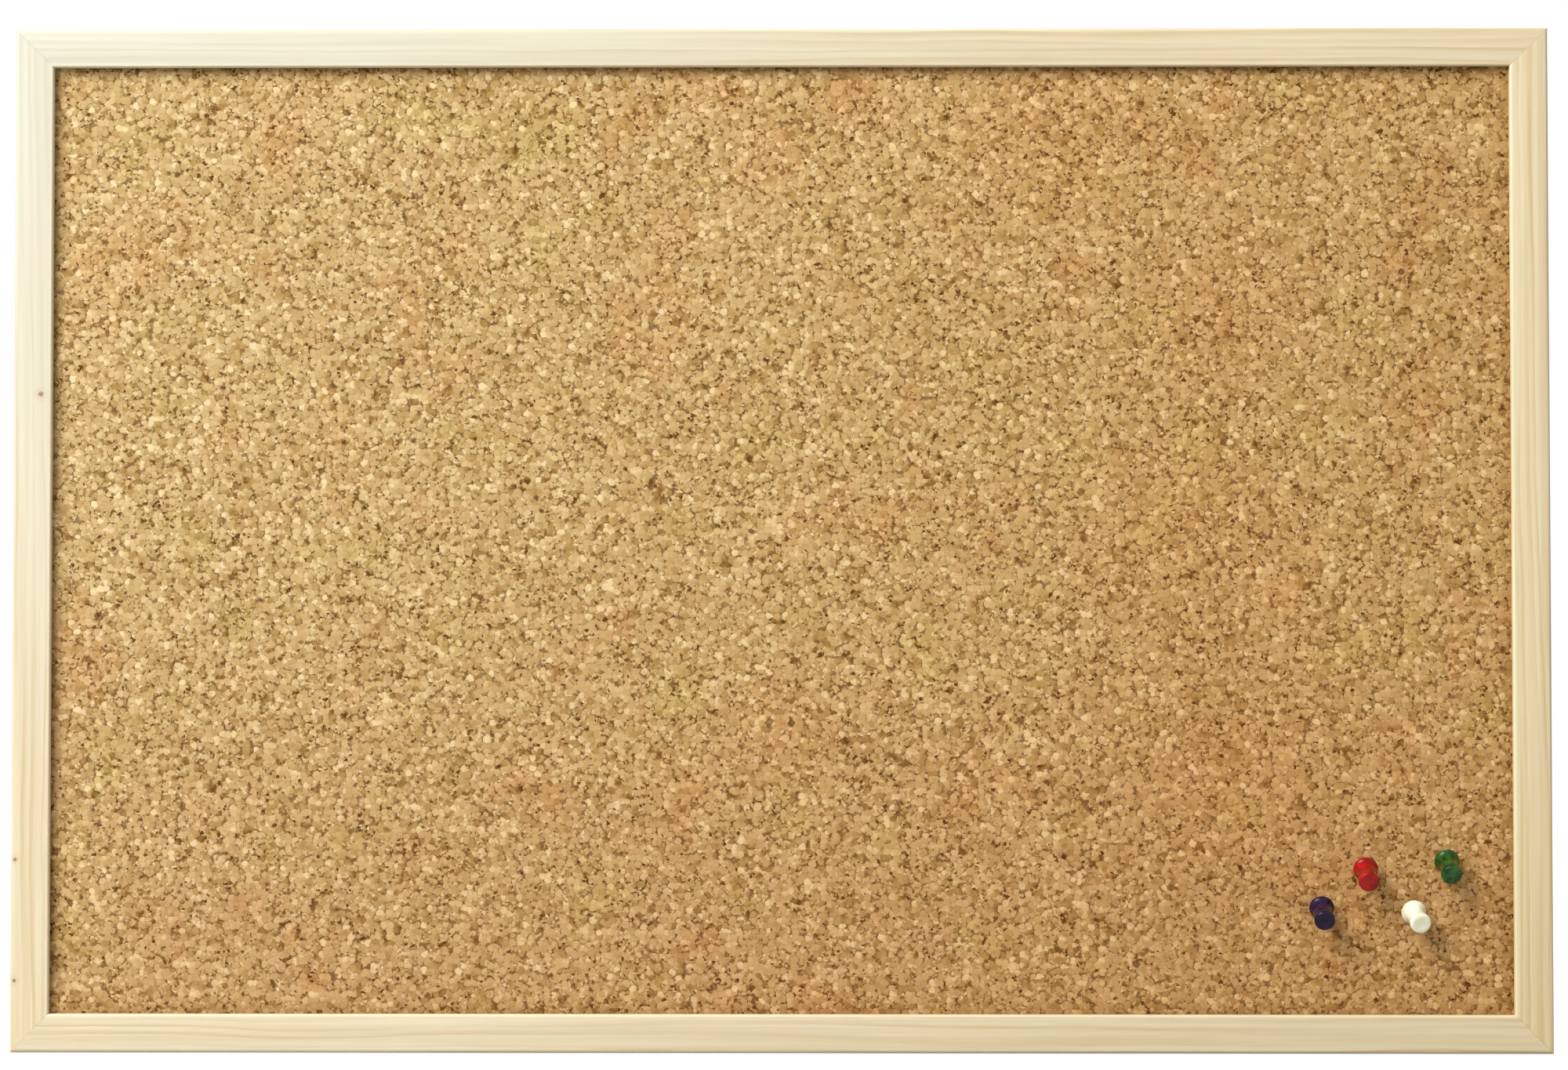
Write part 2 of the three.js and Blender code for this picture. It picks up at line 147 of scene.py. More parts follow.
def noise(place, size, detail=2.0, roughness=0.5, colour=False):
    inputs = {"Vector": place, "Scale": 1 / size, "Detail": detail, "Roughness": roughness}
    return node_after("ShaderNodeTexNoise", inputs).outputs["Color" if colour else 0]


def streaks(place, sizes, detail=2.0, roughness=0.5):
    """Noise whose features have the given sizes along X, Y and Z."""
    return noise(vector("DIVIDE", place, sizes), 1.0, detail, roughness)


def cells(place, size, feature="F1"):
    inputs = {"Vector": place, "Scale": 1 / size}
    return node_after("ShaderNodeTexVoronoi", inputs, feature=feature).outputs


def spread(value, low, high, to_low=0.0, to_high=1.0):
    """The value's run from low to high, eased and clamped, as one from to_low to to_high."""
    inputs = {"Value": value, "From Min": low, "From Max": high, "To Min": to_low, "To Max": to_high}
    return node_after("ShaderNodeMapRange", inputs, interpolation_type="SMOOTHSTEP").outputs[0]


def ramp(value, stops):
    """A colour for the value, from pairs of a share of the run and a colour."""
    made = node_after("ShaderNodeValToRGB", {0: value})
    elements = made.color_ramp.elements
    while len(elements) < len(stops):
        elements.new(0.5)
    for element, (share, colour) in zip(elements, stops):
        element.position = share
        element.color = colour
    return made.outputs[0]


def tint(share, a, b, blend="MIX"):
    inputs = {0: share, 6: a, 7: b}
    return node_after("ShaderNodeMix", inputs, data_type="RGBA", blend_type=blend).outputs[2]


def multiplied(colour, multiplier):
    """The colour multiplied by another colour."""
    return tint(1.0, colour, multiplier, "MULTIPLY")


def shaded(colour, factor):
    """The colour made lighter or darker by a factor."""
    return multiplied(colour, joined(factor, factor, factor))


def spot(place, x, z, radius, soft):
    """One inside a round spot of the board's face and zero outside it."""
    gap = vector("SUBTRACT", place, (x, 0.0, z))
    reach = length(vector("MULTIPLY", gap, (1.0, 0.0, 1.0)))
    return spread(reach, radius - soft, radius + soft, 1.0, 0.0)


class Finish:
    """A material with values for its shader's own sockets. Its nodes start from its place."""

    def __init__(self, name, values=()):
        self.material = bpy.data.materials.new(name)
        self.material.use_nodes = True
        self.tree = self.material.node_tree
        self.shader = self.tree.nodes["Principled BSDF"]
        for key, value in dict(values).items():
            put(self.shader.inputs[key], value)

    def place(self):
        """The shaded point in the frame's own axes, in millimetres."""
        place = new_node(self.tree, "ShaderNodeTexCoord").outputs["Object"]
        return vector("DIVIDE", place, (MM, MM, MM))

    def coat(self, colour, roughness, height, depth, strength=1.0):
        """Sets the colour, the roughness and a relief, where a height of one stands for depth."""
        put(self.shader.inputs["Base Color"], colour)
        put(self.shader.inputs["Roughness"], roughness)
        inputs = {"Height": height, "Distance": depth * MM, "Strength": strength}
        put(self.shader.inputs["Normal"], node_after("ShaderNodeBump", inputs).outputs[0])
        return self.material


# Meshes

def linked(name, data):
    """A new object in the scene."""
    made = bpy.data.objects.new(name, data)
    bpy.context.scene.collection.objects.link(made)
    return made


def new_object(name, vertices, faces):
    """A closed mesh with its faces pointing out."""
    mesh = bpy.data.meshes.new(name)
    mesh.from_pydata([tuple(v) for v in vertices], [], [[int(i) for i in f] for f in faces])
    shape = bmesh.new()
    shape.from_mesh(mesh)
    bmesh.ops.recalc_face_normals(shape, faces=shape.faces)
    shape.to_mesh(mesh)
    shape.free()
    return linked(name, mesh)


def settle(piece):
    """Applies a piece's modifiers."""
    graph = bpy.context.evaluated_depsgraph_get()
    mesh = bpy.data.meshes.new_from_object(piece.evaluated_get(graph))
    piece.modifiers.clear()
    piece.data = mesh
    return piece


def smooth(piece, crease_degrees=CREASE_DEGREES):
    piece.data.shade_smooth()
    piece.data.set_sharp_from_angle(angle=math.radians(crease_degrees))
    return piece


def soften(piece, width, segments=2, degrees=40):
    """Rounds the edges that are sharper than the given angle."""
    bevel = piece.modifiers.new("soften", "BEVEL")
    bevel.width = width
    bevel.segments = segments
    bevel.angle_limit = math.radians(degrees)
    return settle(piece)


def carve(piece, cutters):
    """Takes the cutters out of a piece and deletes them."""
    for cutter in cutters:
        change = piece.modifiers.new("carve", "BOOLEAN")
        change.solver = "MANIFOLD"
        change.object = cutter
    settle(piece)
    for cutter in cutters:
        bpy.data.objects.remove(cutter)
    return piece


def moved(piece, matrix):
    piece.data.transform(matrix)
    return piece


def lathe(name, outline, segments):
    """A solid turned about Z from pairs of radius and height, which start and end on the axis."""
    angles = np.linspace(0, 2 * math.pi, segments, endpoint=False)
    vertices = [(0, 0, outline[0][1]), (0, 0, outline[-1][1])]
    rows = []
    for radius, height in outline[1:-1]:
        rows.append(range(len(vertices), len(vertices) + segments))
        vertices += [(radius * math.cos(a), radius * math.sin(a), height) for a in angles]
    faces = []
    for i in range(segments):
        j = (i + 1) % segments
        faces += [(0, rows[0][j], rows[0][i]), (1, rows[-1][i], rows[-1][j])]
        faces += [(low[i], low[j], high[j], high[i]) for low, high in zip(rows, rows[1:])]
    return new_object(name, vertices, faces)


def bar(radius, low, high, segments):
    """A round bar about Z that cuts a hole."""
    return lathe("hole", [(0, low), (radius, low), (radius, high), (0, high)], segments)


def loft(name, rings):
    """A solid through rings of as many points each, with flat ends."""
    count = len(rings[0])
    faces = [range(count), range(count * (len(rings) - 1), count * len(rings))]
    for start in range(0, count * (len(rings) - 1), count):
        for i in range(count):
            j = (i + 1) % count
            faces.append((start + i, start + j, start + count + j, start + count + i))
    return new_object(name, np.concatenate(rings), faces)


def slab(name, outline, low, high):
    """A flat outline in X and Z made solid from low to high along Y."""
    return loft(name, [np.array([(x, y, z) for x, z in outline]) for y in (low, high)])


def block(name, low, high):
    outline = [(low[0], low[2]), (high[0], low[2]), (high[0], high[2]), (low[0], high[2])]
    return slab(name, outline, low[1], high[1])


def arc(centre, radius, start, end, steps):
    """Points round a centre, from one angle in degrees to the other."""
    angles = np.radians(np.linspace(start, end, steps + 1))
    return [(centre[0] + radius * math.cos(a), centre[1] + radius * math.sin(a)) for a in angles]


def curve_through(points, steps):
    """Points on a smooth curve through the given ones, with as many steps between each two."""
    given = [np.array(p, float) for p in points]
    padded = [2 * given[0] - given[1], *given, 2 * given[-1] - given[-2]]
    made = []
    for a, b, c, d in zip(padded, padded[1:], padded[2:], padded[3:]):
        for t in np.arange(steps) / steps:
            bend = (2 * a - 5 * b + 4 * c - d) * t**2 + (3 * b - a - 3 * c + d) * t**3
            made.append(b + 0.5 * ((c - a) * t + bend))
    return [*made, given[-1]]


def points_of(node):
    """A CAD node's points, with no two alike."""
    points = np.array([v.co for v in frame["nodes"][node].data.vertices], float)
    return np.unique(points.round(8), axis=0)


MAP_STRIP = 0.02  # share of the map that is kept for the hidden faces
HIDDEN_STRIP = 0.018  # share that they take
FACING = 0.3  # least lean towards the viewer of a face that counts as shown


def spread_flat(piece, low, high, front):
    """Maps a flat piece so that its shown face fills the map, and its hidden faces a low strip."""
    mesh = piece.data
    corners = [loop.vertex_index for loop in mesh.loops]
    x, _, z = np.array([v.co for v in mesh.vertices])[corners].T
    facing = [face.normal.y * front > FACING for face in mesh.polygons]
    shown = np.repeat(facing, [face.loop_total for face in mesh.polygons])
    u = (x - low.x) / (high.x - low.x)
    v = (z - low.z) / (high.z - low.z)
    v = np.where(shown, MAP_STRIP + (1 - MAP_STRIP) * v, HIDDEN_STRIP * v)
    layer = mesh.uv_layers.new(name="OFBake")
    layer.data.foreach_set("uv", np.stack([u, v], -1).astype(np.float32).ravel())


def dress(piece, material, slot, body, *nodes):
    """Gives a piece its finish and its body, and lets it stand for CAD nodes."""
    piece.data.materials.clear()
    piece.data.materials.append(material)
    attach(piece, body)
    if nodes:
        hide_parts(*nodes)
    return piece


# Metal, plastic and rubber finishes, in millimetres

METAL_SPECK = 0.6
DRAW_LINES = (0.1, 2.0, 0.1)
METAL_RELIEF = 0.01
FLOW_MARKS = (3.0, 7.0, 3.0)
SCUFF = 0.35
PLASTIC_RELIEF = 0.02
MILK_REACH = 1.2  # how far light goes into milky plastic
PEBBLE = 0.35
DUST = 1.6
RUBBER_RELIEF = 0.05


def metal(name, light, dull, roughness):
    """Bright metal with fine draw lines and a few dull specks."""
    finish = Finish(name, {"Metallic": 1.0})
    place = finish.place()
    specks = noise(place, METAL_SPECK, 4.0, 0.7)
    lines = streaks(place, DRAW_LINES)
    colour = tint(spread(specks, 0.5, 0.72), light, dull)
    dulled = add(spread(specks, 0.4, 0.75, 0.0, 0.2), spread(lines, 0.3, 0.7, 0.0, 0.08))
    return finish.coat(colour, add(dulled, roughness), add(lines, specks), METAL_RELIEF, 0.35)


def plastic(name, paint, deep, clearness, milk):
    """Moulded plastic with faint flow marks and handling scuffs."""
    finish = Finish(name, {
        "IOR": 1.5,
        "Specular IOR Level": 0.16,
        "Transmission Weight": clearness,
        "Subsurface Weight": milk,
        "Subsurface Scale": MILK_REACH * MM,
    })
    place = finish.place()
    flow = streaks(place, FLOW_MARKS, 3.0)
    colour = tint(spread(flow, 0.35, 0.65), deep, paint)
    scuff = noise(place, SCUFF, 3.0, 0.65)
    roughness = spread(scuff, 0.3, 0.8, 0.14, 0.28)
    return finish.coat(colour, roughness, add(scuff, flow), PLASTIC_RELIEF, 0.5)


def rubber():
    """Dull dark rubber with a fine pebbled skin and some dust."""
    finish = Finish("rubber", {"Specular IOR Level": 0.35})
    place = finish.place()
    pebbles = cells(place, PEBBLE)["Distance"]
    dust = noise(place, DUST, 4.0, 0.65)
    colour = tint(spread(dust, 0.5, 0.78), srgb(52, 51, 48), srgb(98, 95, 88))
    roughness = spread(dust, 0.3, 0.8, 0.7, 0.92)
    return finish.coat(colour, roughness, pebbles, RUBBER_RELIEF, 0.6)


# Cork, in millimetres

GRANULE = 2.2
CRUMB = 1.05
GRANULE_RAG = 0.65  # how far a granule's edge wanders
RAG_SIZE = 1.3
CRUMBLY_SHARE = 0.42  # share of the granules that are broken into crumbs
SEAM_SHARE = 0.1  # the seam's width as a share of a granule's
CRUMB_SEAM_SHARE = 0.14
VOID_RUN_SHARES = (0.66, 0.84)  # how far from a granule's middle a void begins and is at its full depth
LEAST_TONE = 0.12
LOWEST_TOP_SHARE = 0.55  # this and the next two are shares of the relief
SEAM_DEPTH_SHARE = 0.4
VOID_DEPTH_SHARE = 0.6


def granules(place):
    """The cork at a place: its height, each granule's tone and hue, and the seams and voids between."""
    rag = vector("SUBTRACT", noise(place, RAG_SIZE, 1.0, colour=True), (0.5, 0.5, 0.5))
    ragged = vector("ADD", place, vector("MULTIPLY", rag, (2 * GRANULE_RAG,) * 3))
    large = cells(ragged, GRANULE)
    small = cells(ragged, CRUMB)
    large_tone, large_hue, kind = split(large["Color"])
    small_tone, small_hue, _ = split(small["Color"])
    crumbly = compute("GREATER_THAN", kind, 1 - CRUMBLY_SHARE)
    large_edge = cells(ragged, GRANULE, "DISTANCE_TO_EDGE")["Distance"]
    small_edge = cells(ragged, CRUMB, "DISTANCE_TO_EDGE")["Distance"]
    large_seam = spread(large_edge, 0.0, SEAM_SHARE, 1.0, 0.0)
    small_seam = spread(small_edge, 0.0, CRUMB_SEAM_SHARE, 0.8, 0.0)
    seam = compute("MAXIMUM", large_seam, times(small_seam, crumbly))
    void = spread(large["Distance"], *VOID_RUN_SHARES)

    def chosen(whole, broken):
        return add(whole, times(less(broken, whole), crumbly))

    tone = chosen(add(times(large_tone, 1 - LEAST_TONE), LEAST_TONE), small_tone)
    top = add(times(tone, 1 - LOWEST_TOP_SHARE), LOWEST_TOP_SHARE)
    sunk = add(times(seam, SEAM_DEPTH_SHARE), times(void, VOID_DEPTH_SHARE))
    return {
        "height": less(top, sunk),
        "tone": tone,
        "hue": chosen(large_hue, small_hue),
        "seam": seam,
        "void": void,
    }


# Each granule's colour by its tone.
CORK_TONES = [
    (0.0, (98, 62, 22)),
    (0.07, (138, 101, 46)),
    (0.2, (177, 142, 82)),
    (0.42, (200, 167, 110)),
    (0.68, (210, 178, 122)),
    (0.9, (223, 194, 138)),
    (1.0, (240, 215, 164)),
]
# Dark bits of bark: each one's place across and up from the board's middle, and its radius.
BARK_BITS = [
    (243.0, 104.5, 1.3), (138.5, -165.5, 1.5), (4.2, -72.0, 1.4), (170.5, 101.5, 1.3),
    (-237.0, 143.0, 1.1), (-143.5, 38.5, 1.0), (-11.5, 3.0, 1.1), (104.0, 52.0, 1.0),
]
# Rosy patches of the sheet: each one's place across and up, and its radius.
ROSY_PATCHES = [
    (160.0, -2.0, 34.0), (175.0, -90.0, 44.0), (3.0, -76.0, 16.0),
    (104.0, 158.0, 26.0), (172.0, 88.0, 24.0),
]
FOOT_SHADE_START = 20.0  # the height from which the sheet darkens towards its foot
PATCH = 30.0
CLUMP = 7.0
KNOT = 2.9
CORK_FIBRE = 0.5
TEAR = 1.2  # the size of the tears in a bark bit's edge
BARK_FADE = 0.3
CORK_BUMP = 0.13
RIM_SHADE = srgb(225, 220, 212)  # what the painted shade along the lip leaves of the cork's colour
RIM_SHADE_RUN = (1.0, 8.0)  # from where the painted shade is full to where it ends
RIM_SHADE_WAVE = 2.0
RIM_SHADE_WAVE_SIZE = 6.0


def opening():
    """Half the width and half the height of the frame's opening, in millimetres."""
    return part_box("frame_right")[0].x / MM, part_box("frame_top")[0].z / MM


def rim_painted_shade(place):
    """Painted shade: one where the cork meets the frame's lip, and zero a little way in."""
    wide, high = opening()
    x, _, z = split(vector("ABSOLUTE", place))
    gap = compute("MINIMUM", less(wide, x), less(high, z))
    wave = times(noise(place, RIM_SHADE_WAVE_SIZE, 3.0), RIM_SHADE_WAVE)
    return spread(add(gap, wave), *RIM_SHADE_RUN, 1.0, 0.0)


def cork_patches(place, colour):
    """Tints the sheet rosy in some places and olive in others."""
    patch = noise(place, PATCH, 3.0, 0.55)
    rosy = multiplied(colour, srgb(255, 241, 234))
    rosiness = spread(patch, 0.52, 0.74)
    for across, up, radius in ROSY_PATCHES:
        near = spot(place, across, up, radius, radius)
        rosiness = compute("MAXIMUM", rosiness, times(near, 0.8))
    colour = tint(rosiness, colour, rosy)
    olive = multiplied(colour, srgb(250, 254, 238))
    return tint(spread(patch, 0.46, 0.26), colour, olive)


def cork_painted_shade(place, colour):
    """Paints shade that makes the sheet browner towards its right and a little darker towards its foot.
    """
    low, high = (corner / MM for corner in cad_box)
    x, _, z = split(place)
    colour = multiplied(colour, tint(spread(x, low.x, high.x), WHITE, srgb(249, 238, 222)))
    return multiplied(colour, tint(spread(z, FOOT_SHADE_START, low.z), WHITE, srgb(247, 236, 233)))


def bark_bits(place, colour):
    """Sets the dark bits of bark, with torn edges, in the sheet."""
    torn = vector("ADD", place, noise(place, TEAR, 2.0, 0.6, colour=True))
    for across, up, radius in BARK_BITS:
        # The noise that tears the edges is one half on the whole.
        bit = spot(torn, across + 0.5, up + 0.5, radius, BARK_FADE)
        colour = tint(times(bit, 0.8), colour, srgb(96, 58, 26))
    return colour


def cork_finish():
    """Pressed cork: each granule in its own tone, with patches, bark bits, painted shade along the lip
    and painted shade towards its right and foot.
    """
    finish = Finish("cork", {"IOR": 1.4, "Specular IOR Level": 0.25})
    place = finish.place()
    found = granules(place)
    clump = less(noise(place, CLUMP), 0.5)
    knot = less(noise(place, KNOT, 1.0), 0.5)
    tone = add(found["tone"], add(times(clump, 0.35), times(knot, 0.5)))
    colour = ramp(tone, [(share, srgb(*paint)) for share, paint in CORK_TONES])
    colour = tint(spread(found["hue"], 0.7, 1.0, 0.0, 0.16), colour, srgb(214, 158, 110))
    colour = cork_patches(place, colour)
    # Painted shade towards the sheet's right and foot.
    colour = cork_painted_shade(place, colour)
    colour = bark_bits(place, colour)
    fibre = noise(place, CORK_FIBRE, 2.0, 0.6)
    dark = add(times(found["seam"], 0.14), times(found["void"], 0.62))
    colour = tint(dark, colour, srgb(100, 60, 22))
    # Painted shade along the frame's lip.
    colour = tint(rim_painted_shade(place), colour, multiplied(colour, RIM_SHADE))
    shade = spread(fibre, 0.2, 0.8, 0.955, 1.045)
    relief = add(found["height"], times(fibre, 0.2))
    roughness = spread(fibre, 0.2, 0.8, 0.8, 0.95)
    return finish.coat(shaded(colour, shade), roughness, relief, CORK_BUMP, 0.6)


# The cork sheet's mesh

CORK_GRID = 1.52 * MM
CORK_RELIEF = 0.22 * MM
CORK_RISE_SHARE = 0.25  # share of the relief that stands proud of the sheet's face


def relief_nodes():
    """Nodes that sink and raise the cork's face by its granules."""
    tree = bpy.data.node_groups.new("cork_relief", "GeometryNodeTree")
    for way in ("INPUT", "OUTPUT"):
        tree.interface.new_socket("Geometry", in_out=way, socket_type="NodeSocketGeometry")
    start = new_node(tree, "NodeGroupInput").outputs[0]
    place = new_node(tree, "GeometryNodeInputPosition").outputs[0]
    found = granules(vector("DIVIDE", place, (MM, MM, MM)))
    share = new_node(tree, "GeometryNodeInputNamedAttribute", {"Name": "relief"}, data_type="FLOAT")
    lift = less(compute("MAXIMUM", found["height"], 0.0), 1 - CORK_RISE_SHARE)
    lift = times(times(lift, -CORK_RELIEF), share.outputs[0])
    inputs = {"Geometry": start, "Offset": joined(0.0, lift, 0.0)}
    raised = node_after("GeometryNodeSetPosition", inputs).outputs[0]
    new_node(tree, "NodeGroupOutput", {0: raised})
    return tree


def cork_sheet():
    """The sheet as a fine grid with its granules in relief, and the holes that the needles leave."""
    low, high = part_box("cork_sheet")
    across = round((high.x - low.x) / CORK_GRID)
    up = round((high.z - low.z) / CORK_GRID)
    xs = np.linspace(low.x, high.x, across + 1)
    zs = np.linspace(low.z, high.z, up + 1)
    face = np.array([(x, low.y, z) for z in zs for x in xs])
    index = np.arange(len(face)).reshape(up + 1, across + 1)
    quads = [index[:-1, :-1], index[:-1, 1:], index[1:, 1:], index[1:, :-1]]
    faces = np.stack(quads, -1).reshape(-1, 4).tolist()
    rim = [*index[0, :-1], *index[:-1, -1], *index[-1, :0:-1], *index[:0:-1, 0]]
    back = list(range(len(face), len(face) + len(rim)))
    for i in range(len(rim)):
        faces.append((rim[i - 1], rim[i], back[i], back[i - 1]))
    faces.append(back)
    behind = face[rim] + (0, high.y - low.y, 0)
    sheet = new_object("cork_face", np.concatenate([face, behind]), faces)
    share = np.zeros(len(face) + len(behind), np.float32)
    share[index[1:-1, 1:-1].ravel()] = 1.0
    sheet.data.attributes.new("relief", "FLOAT", "POINT").data.foreach_set("value", share)
    sheet.modifiers.new("relief", "NODES").node_group = relief_nodes()
    settle(sheet)
    sheet.data.attributes.remove(sheet.data.attributes["relief"])
    carve(sheet, [needle_hole(colour) for colour in PIN_PAINTS])
    spread_flat(smooth(sheet, CORK_CREASE_DEGREES), low, high, front=-1)
    return dress(sheet, cork_finish(), "cork", "board", "cork_sheet")


# Pins

PIN_SEGMENTS = 72
NEEDLE_SEGMENTS = 24
NEEDLE_HOLE_SEGMENTS = 20
OUTLINE_STEPS = 3
NEEDLE_HOLE_GAP = 0.1 * MM
NEEDLE_POINT = 2 * MM
HEAD_FIT = 0.01 * MM  # between the plastic and the needle moulded into it
# Each pair is a radius as a share of the flange's and a height as a share of the head's.
HEAD_OUTLINE_SHARES = [
    (0.93, 0.0), (0.985, 0.014), (1.0, 0.045), (0.995, 0.078), (0.972, 0.104), (0.925, 0.128),
    (0.868, 0.16), (0.812, 0.205), (0.762, 0.27), (0.726, 0.35), (0.71, 0.44), (0.714, 0.53),
    (0.732, 0.61), (0.764, 0.69), (0.8, 0.76), (0.828, 0.82), (0.84, 0.88), (0.834, 0.932),
    (0.8, 0.966), (0.735, 0.988), (0.63, 0.998), (0.52, 1.0), (0.38, 0.998), (0.2, 0.993),
]
# Each pair is a radius as a share of the needle's and a height as a share of its point's.
POINT_OUTLINE_SHARES = [(0, 0), (0.12, 0.15), (0.75, 0.75), (1, 1)]
# The paint, a deeper paint that the flow marks mix in, how clear the plastic is and how milky.
PIN_PAINTS = {
    "blue": (srgb(44, 24, 62), srgb(24, 12, 34), 0.06, 0.0),
    "red": (srgb(186, 24, 22), srgb(140, 12, 12), 0.12, 0.0),
    "green": (srgb(54, 106, 34), srgb(20, 58, 10), 0.18, 0.0),
    "white": (srgb(255, 253, 228), srgb(250, 246, 214), 0.0, 0.3),
}


def pin_axis(colour):
    joint = next(j for j in frame["joints"] if j["name"] == f"pin_{colour}_pull")
    return np.array(joint["axis"], float)


def pin_spans(colour, part):
    """A pin's head or needle on its axis: a point of the axis, both ends along it, and the radius."""
    axis = pin_axis(colour)
    points = points_of(f"pin_{part}_{colour}")
    along = points @ axis
    flat = points - np.outer(along, axis)
    wide = np.linalg.norm(flat - flat.mean(0), axis=1)
    rim = flat[wide > 0.9 * wide.max()]
    middle = rim.mean(0)
    return middle, along.min(), along.max(), np.linalg.norm(rim - middle, axis=1).max()


def onto_axis(colour):
    """Takes a solid turned about Z onto a pin's axis."""
    turn = Vector(pin_axis(colour)).to_track_quat("Z", "Y").to_matrix().to_4x4()
    return Matrix.Translation(Vector(pin_spans(colour, "head")[0])) @ turn


def needle_hole(colour):
    """What a needle leaves in the cork."""
    _, tip, root, radius = pin_spans(colour, "needle")
    return moved(bar(radius + NEEDLE_HOLE_GAP, tip, root, NEEDLE_HOLE_SEGMENTS), onto_axis(colour))


def push_pin(colour, steel):
    """A moulded head and the needle in it, both on the pin's axis."""
    body = f"pin_{colour}"
    _, foot, crown, flange = pin_spans(colour, "head")
    _, tip, root, radius = pin_spans(colour, "needle")
    outside = [(r * flange, foot + h * (crown - foot)) for r, h in HEAD_OUTLINE_SHARES]
    outside = curve_through(outside, OUTLINE_STEPS)
    bore = [(0, root + HEAD_FIT), (radius + HEAD_FIT, root + HEAD_FIT), (radius + HEAD_FIT, foot)]
    head = lathe(f"pin_cap_{colour}", [*bore, *outside, (0, outside[-1][1])], PIN_SEGMENTS)
    smooth(moved(head, onto_axis(colour)), TURNED_CREASE_DEGREES)
    finish = plastic(f"plastic_{colour}", *PIN_PAINTS[colour])
    dress(head, finish, f"plastic_{colour}", body, f"pin_head_{colour}")
    point = [(r * radius, tip + h * NEEDLE_POINT) for r, h in POINT_OUTLINE_SHARES]
    point = curve_through(point, OUTLINE_STEPS)
    needle = lathe(f"pin_point_{colour}", [*point, (radius, root), (0, root)], NEEDLE_SEGMENTS)
    smooth(moved(needle, onto_axis(colour)), TURNED_CREASE_DEGREES)
    dress(needle, steel, "steel", body, f"pin_needle_{colour}")


# Frame rails. Each is drawn as the top rail is, with its outer edge up, and turned to its side.

LIP_THICKNESS = 3 * MM
PANEL_EDGE_GAP = 0.5 * MM
OUTER_ROUND = 1.6 * MM
INNER_ROUND = 0.8 * MM
BACK_ROUND = 0.6 * MM
ARRIS = 0.25 * MM
MITRE_GAP = 0.03 * MM
MITRE_EASE = 0.03 * MM
RAIL_STEP = 8 * MM
RAIL_WANDER = 0.04 * MM
WANDER_LENGTH = 70 * MM
WANDER_BEAT = 2.3  # how much shorter the second wave is
SLOT_GAP = 0.06 * MM
SCREW_HOLE_SEGMENTS = 24
CUT_PAST = 1 * MM
NAIL_THICKNESS = 0.6 * MM


def turn_to(side):
    """Turns what is drawn on the top rail round to its side."""
    return Matrix.Rotation(SIDES.index(side) * TURN, 4, "Y")


def drawn_box(node, side):
    """A node's box where the node would lie on the top rail."""
    ends = [turn_to(side).inverted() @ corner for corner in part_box(node)]
    return Vector(map(min, *ends)), Vector(map(max, *ends))


def rail_half(side):
    """Half a rail's length along its outer edge. The CAD rails stop a little short of it."""
    return cad_box[1].z if side in HANDS else cad_box[1].x


def moulding():
    """The section: each point's distance in from the outer edge and its depth from the front."""
    low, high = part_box("frame_top")
    depth, face = high.y - low.y, high.z - low.z
    rabbet = high.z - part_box("cork_sheet")[1].z - PANEL_EDGE_GAP
    return np.array([
        *arc((OUTER_ROUND, OUTER_ROUND), OUTER_ROUND, 180, 270, 8),
        *arc((face - INNER_ROUND, INNER_ROUND), INNER_ROUND, 270, 360, 6),
        *arc((face - ARRIS, LIP_THICKNESS - ARRIS), ARRIS, 0, 90, 2),
        (rabbet, LIP_THICKNESS),
        *arc((rabbet - ARRIS, depth - ARRIS), ARRIS, 0, 90, 2),
        *arc((BACK_ROUND, depth - BACK_ROUND), BACK_ROUND, 90, 180, 3),
    ])


def outward(section):
    """A unit vector out of the section at each of its points."""
    ahead = np.roll(section, -1, 0) - section
    ahead /= np.linalg.norm(ahead, axis=1)[:, None]
    along = ahead + np.roll(ahead, 1, 0)
    along /= np.linalg.norm(along, axis=1)[:, None]
    return np.stack([along[:, 1], -along[:, 0]], -1)


def rail(side):
    """A rail lofted from mitre to mitre, with its slots cut."""
    low, high = drawn_box(f"frame_{side}", side)
    section = moulding()
    out = outward(section)
    half = rail_half(side)
    # The shown faces wander a little along the rail, and the lip's back and the rabbet stay true.
    shown = (section[:, 0] < OUTER_ROUND) | (section[:, 1] < INNER_ROUND)
    phase = SIDES.index(side)
    steps = math.ceil(half / RAIL_STEP)
    # Two short steps at each mitre carry its eased edge.
    places = [0, 2 * MITRE_EASE, 4 * MITRE_EASE, *np.linspace(0, half, steps + 1)[1:]]
    places = [*places, *(2 * half - p for p in places[-2::-1])]
    rings = []
    for place in places:
        ends = place in (0, 2 * half)
        turn = place / WANDER_LENGTH
        wave = math.sin(turn + phase) + math.sin(turn * WANDER_BEAT - phase)
        sunk = MITRE_EASE if ends else RAIL_WANDER * (1 + wave / 2) / 2
        points = section - out * (sunk * (shown | ends))[:, None]
        reach = (half - points[:, 0] - MITRE_GAP) * (place / half - 1)
        rings.append(np.stack([reach, low.y + points[:, 1], high.z - points[:, 0]], -1))
    made = moved(loft(f"rail_{side}", rings), turn_to(side))
    return carve(made, rail_slots(side))


def nail_outlines(corner, grow):
    """Both nails of a corner seen from the front: each an angle with a leg along each rail."""
    across, up = CORNERS[corner]
    outlines = []
    for number in (1, 2):
        low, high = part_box(f"corner_nail_{corner}_{number}")
        x, z = (low.x, high.x)[across > 0], (low.z, high.z)[up > 0]
        leg, thick = high.x - low.x + grow, NAIL_THICKNESS + grow
        shape = [(-grow, -grow), (leg, -grow), (leg, thick), (thick, thick), (thick, leg), (-grow, leg)]
        outlines.append([(x - across * p, z - up * q) for p, q in shape])
    return outlines


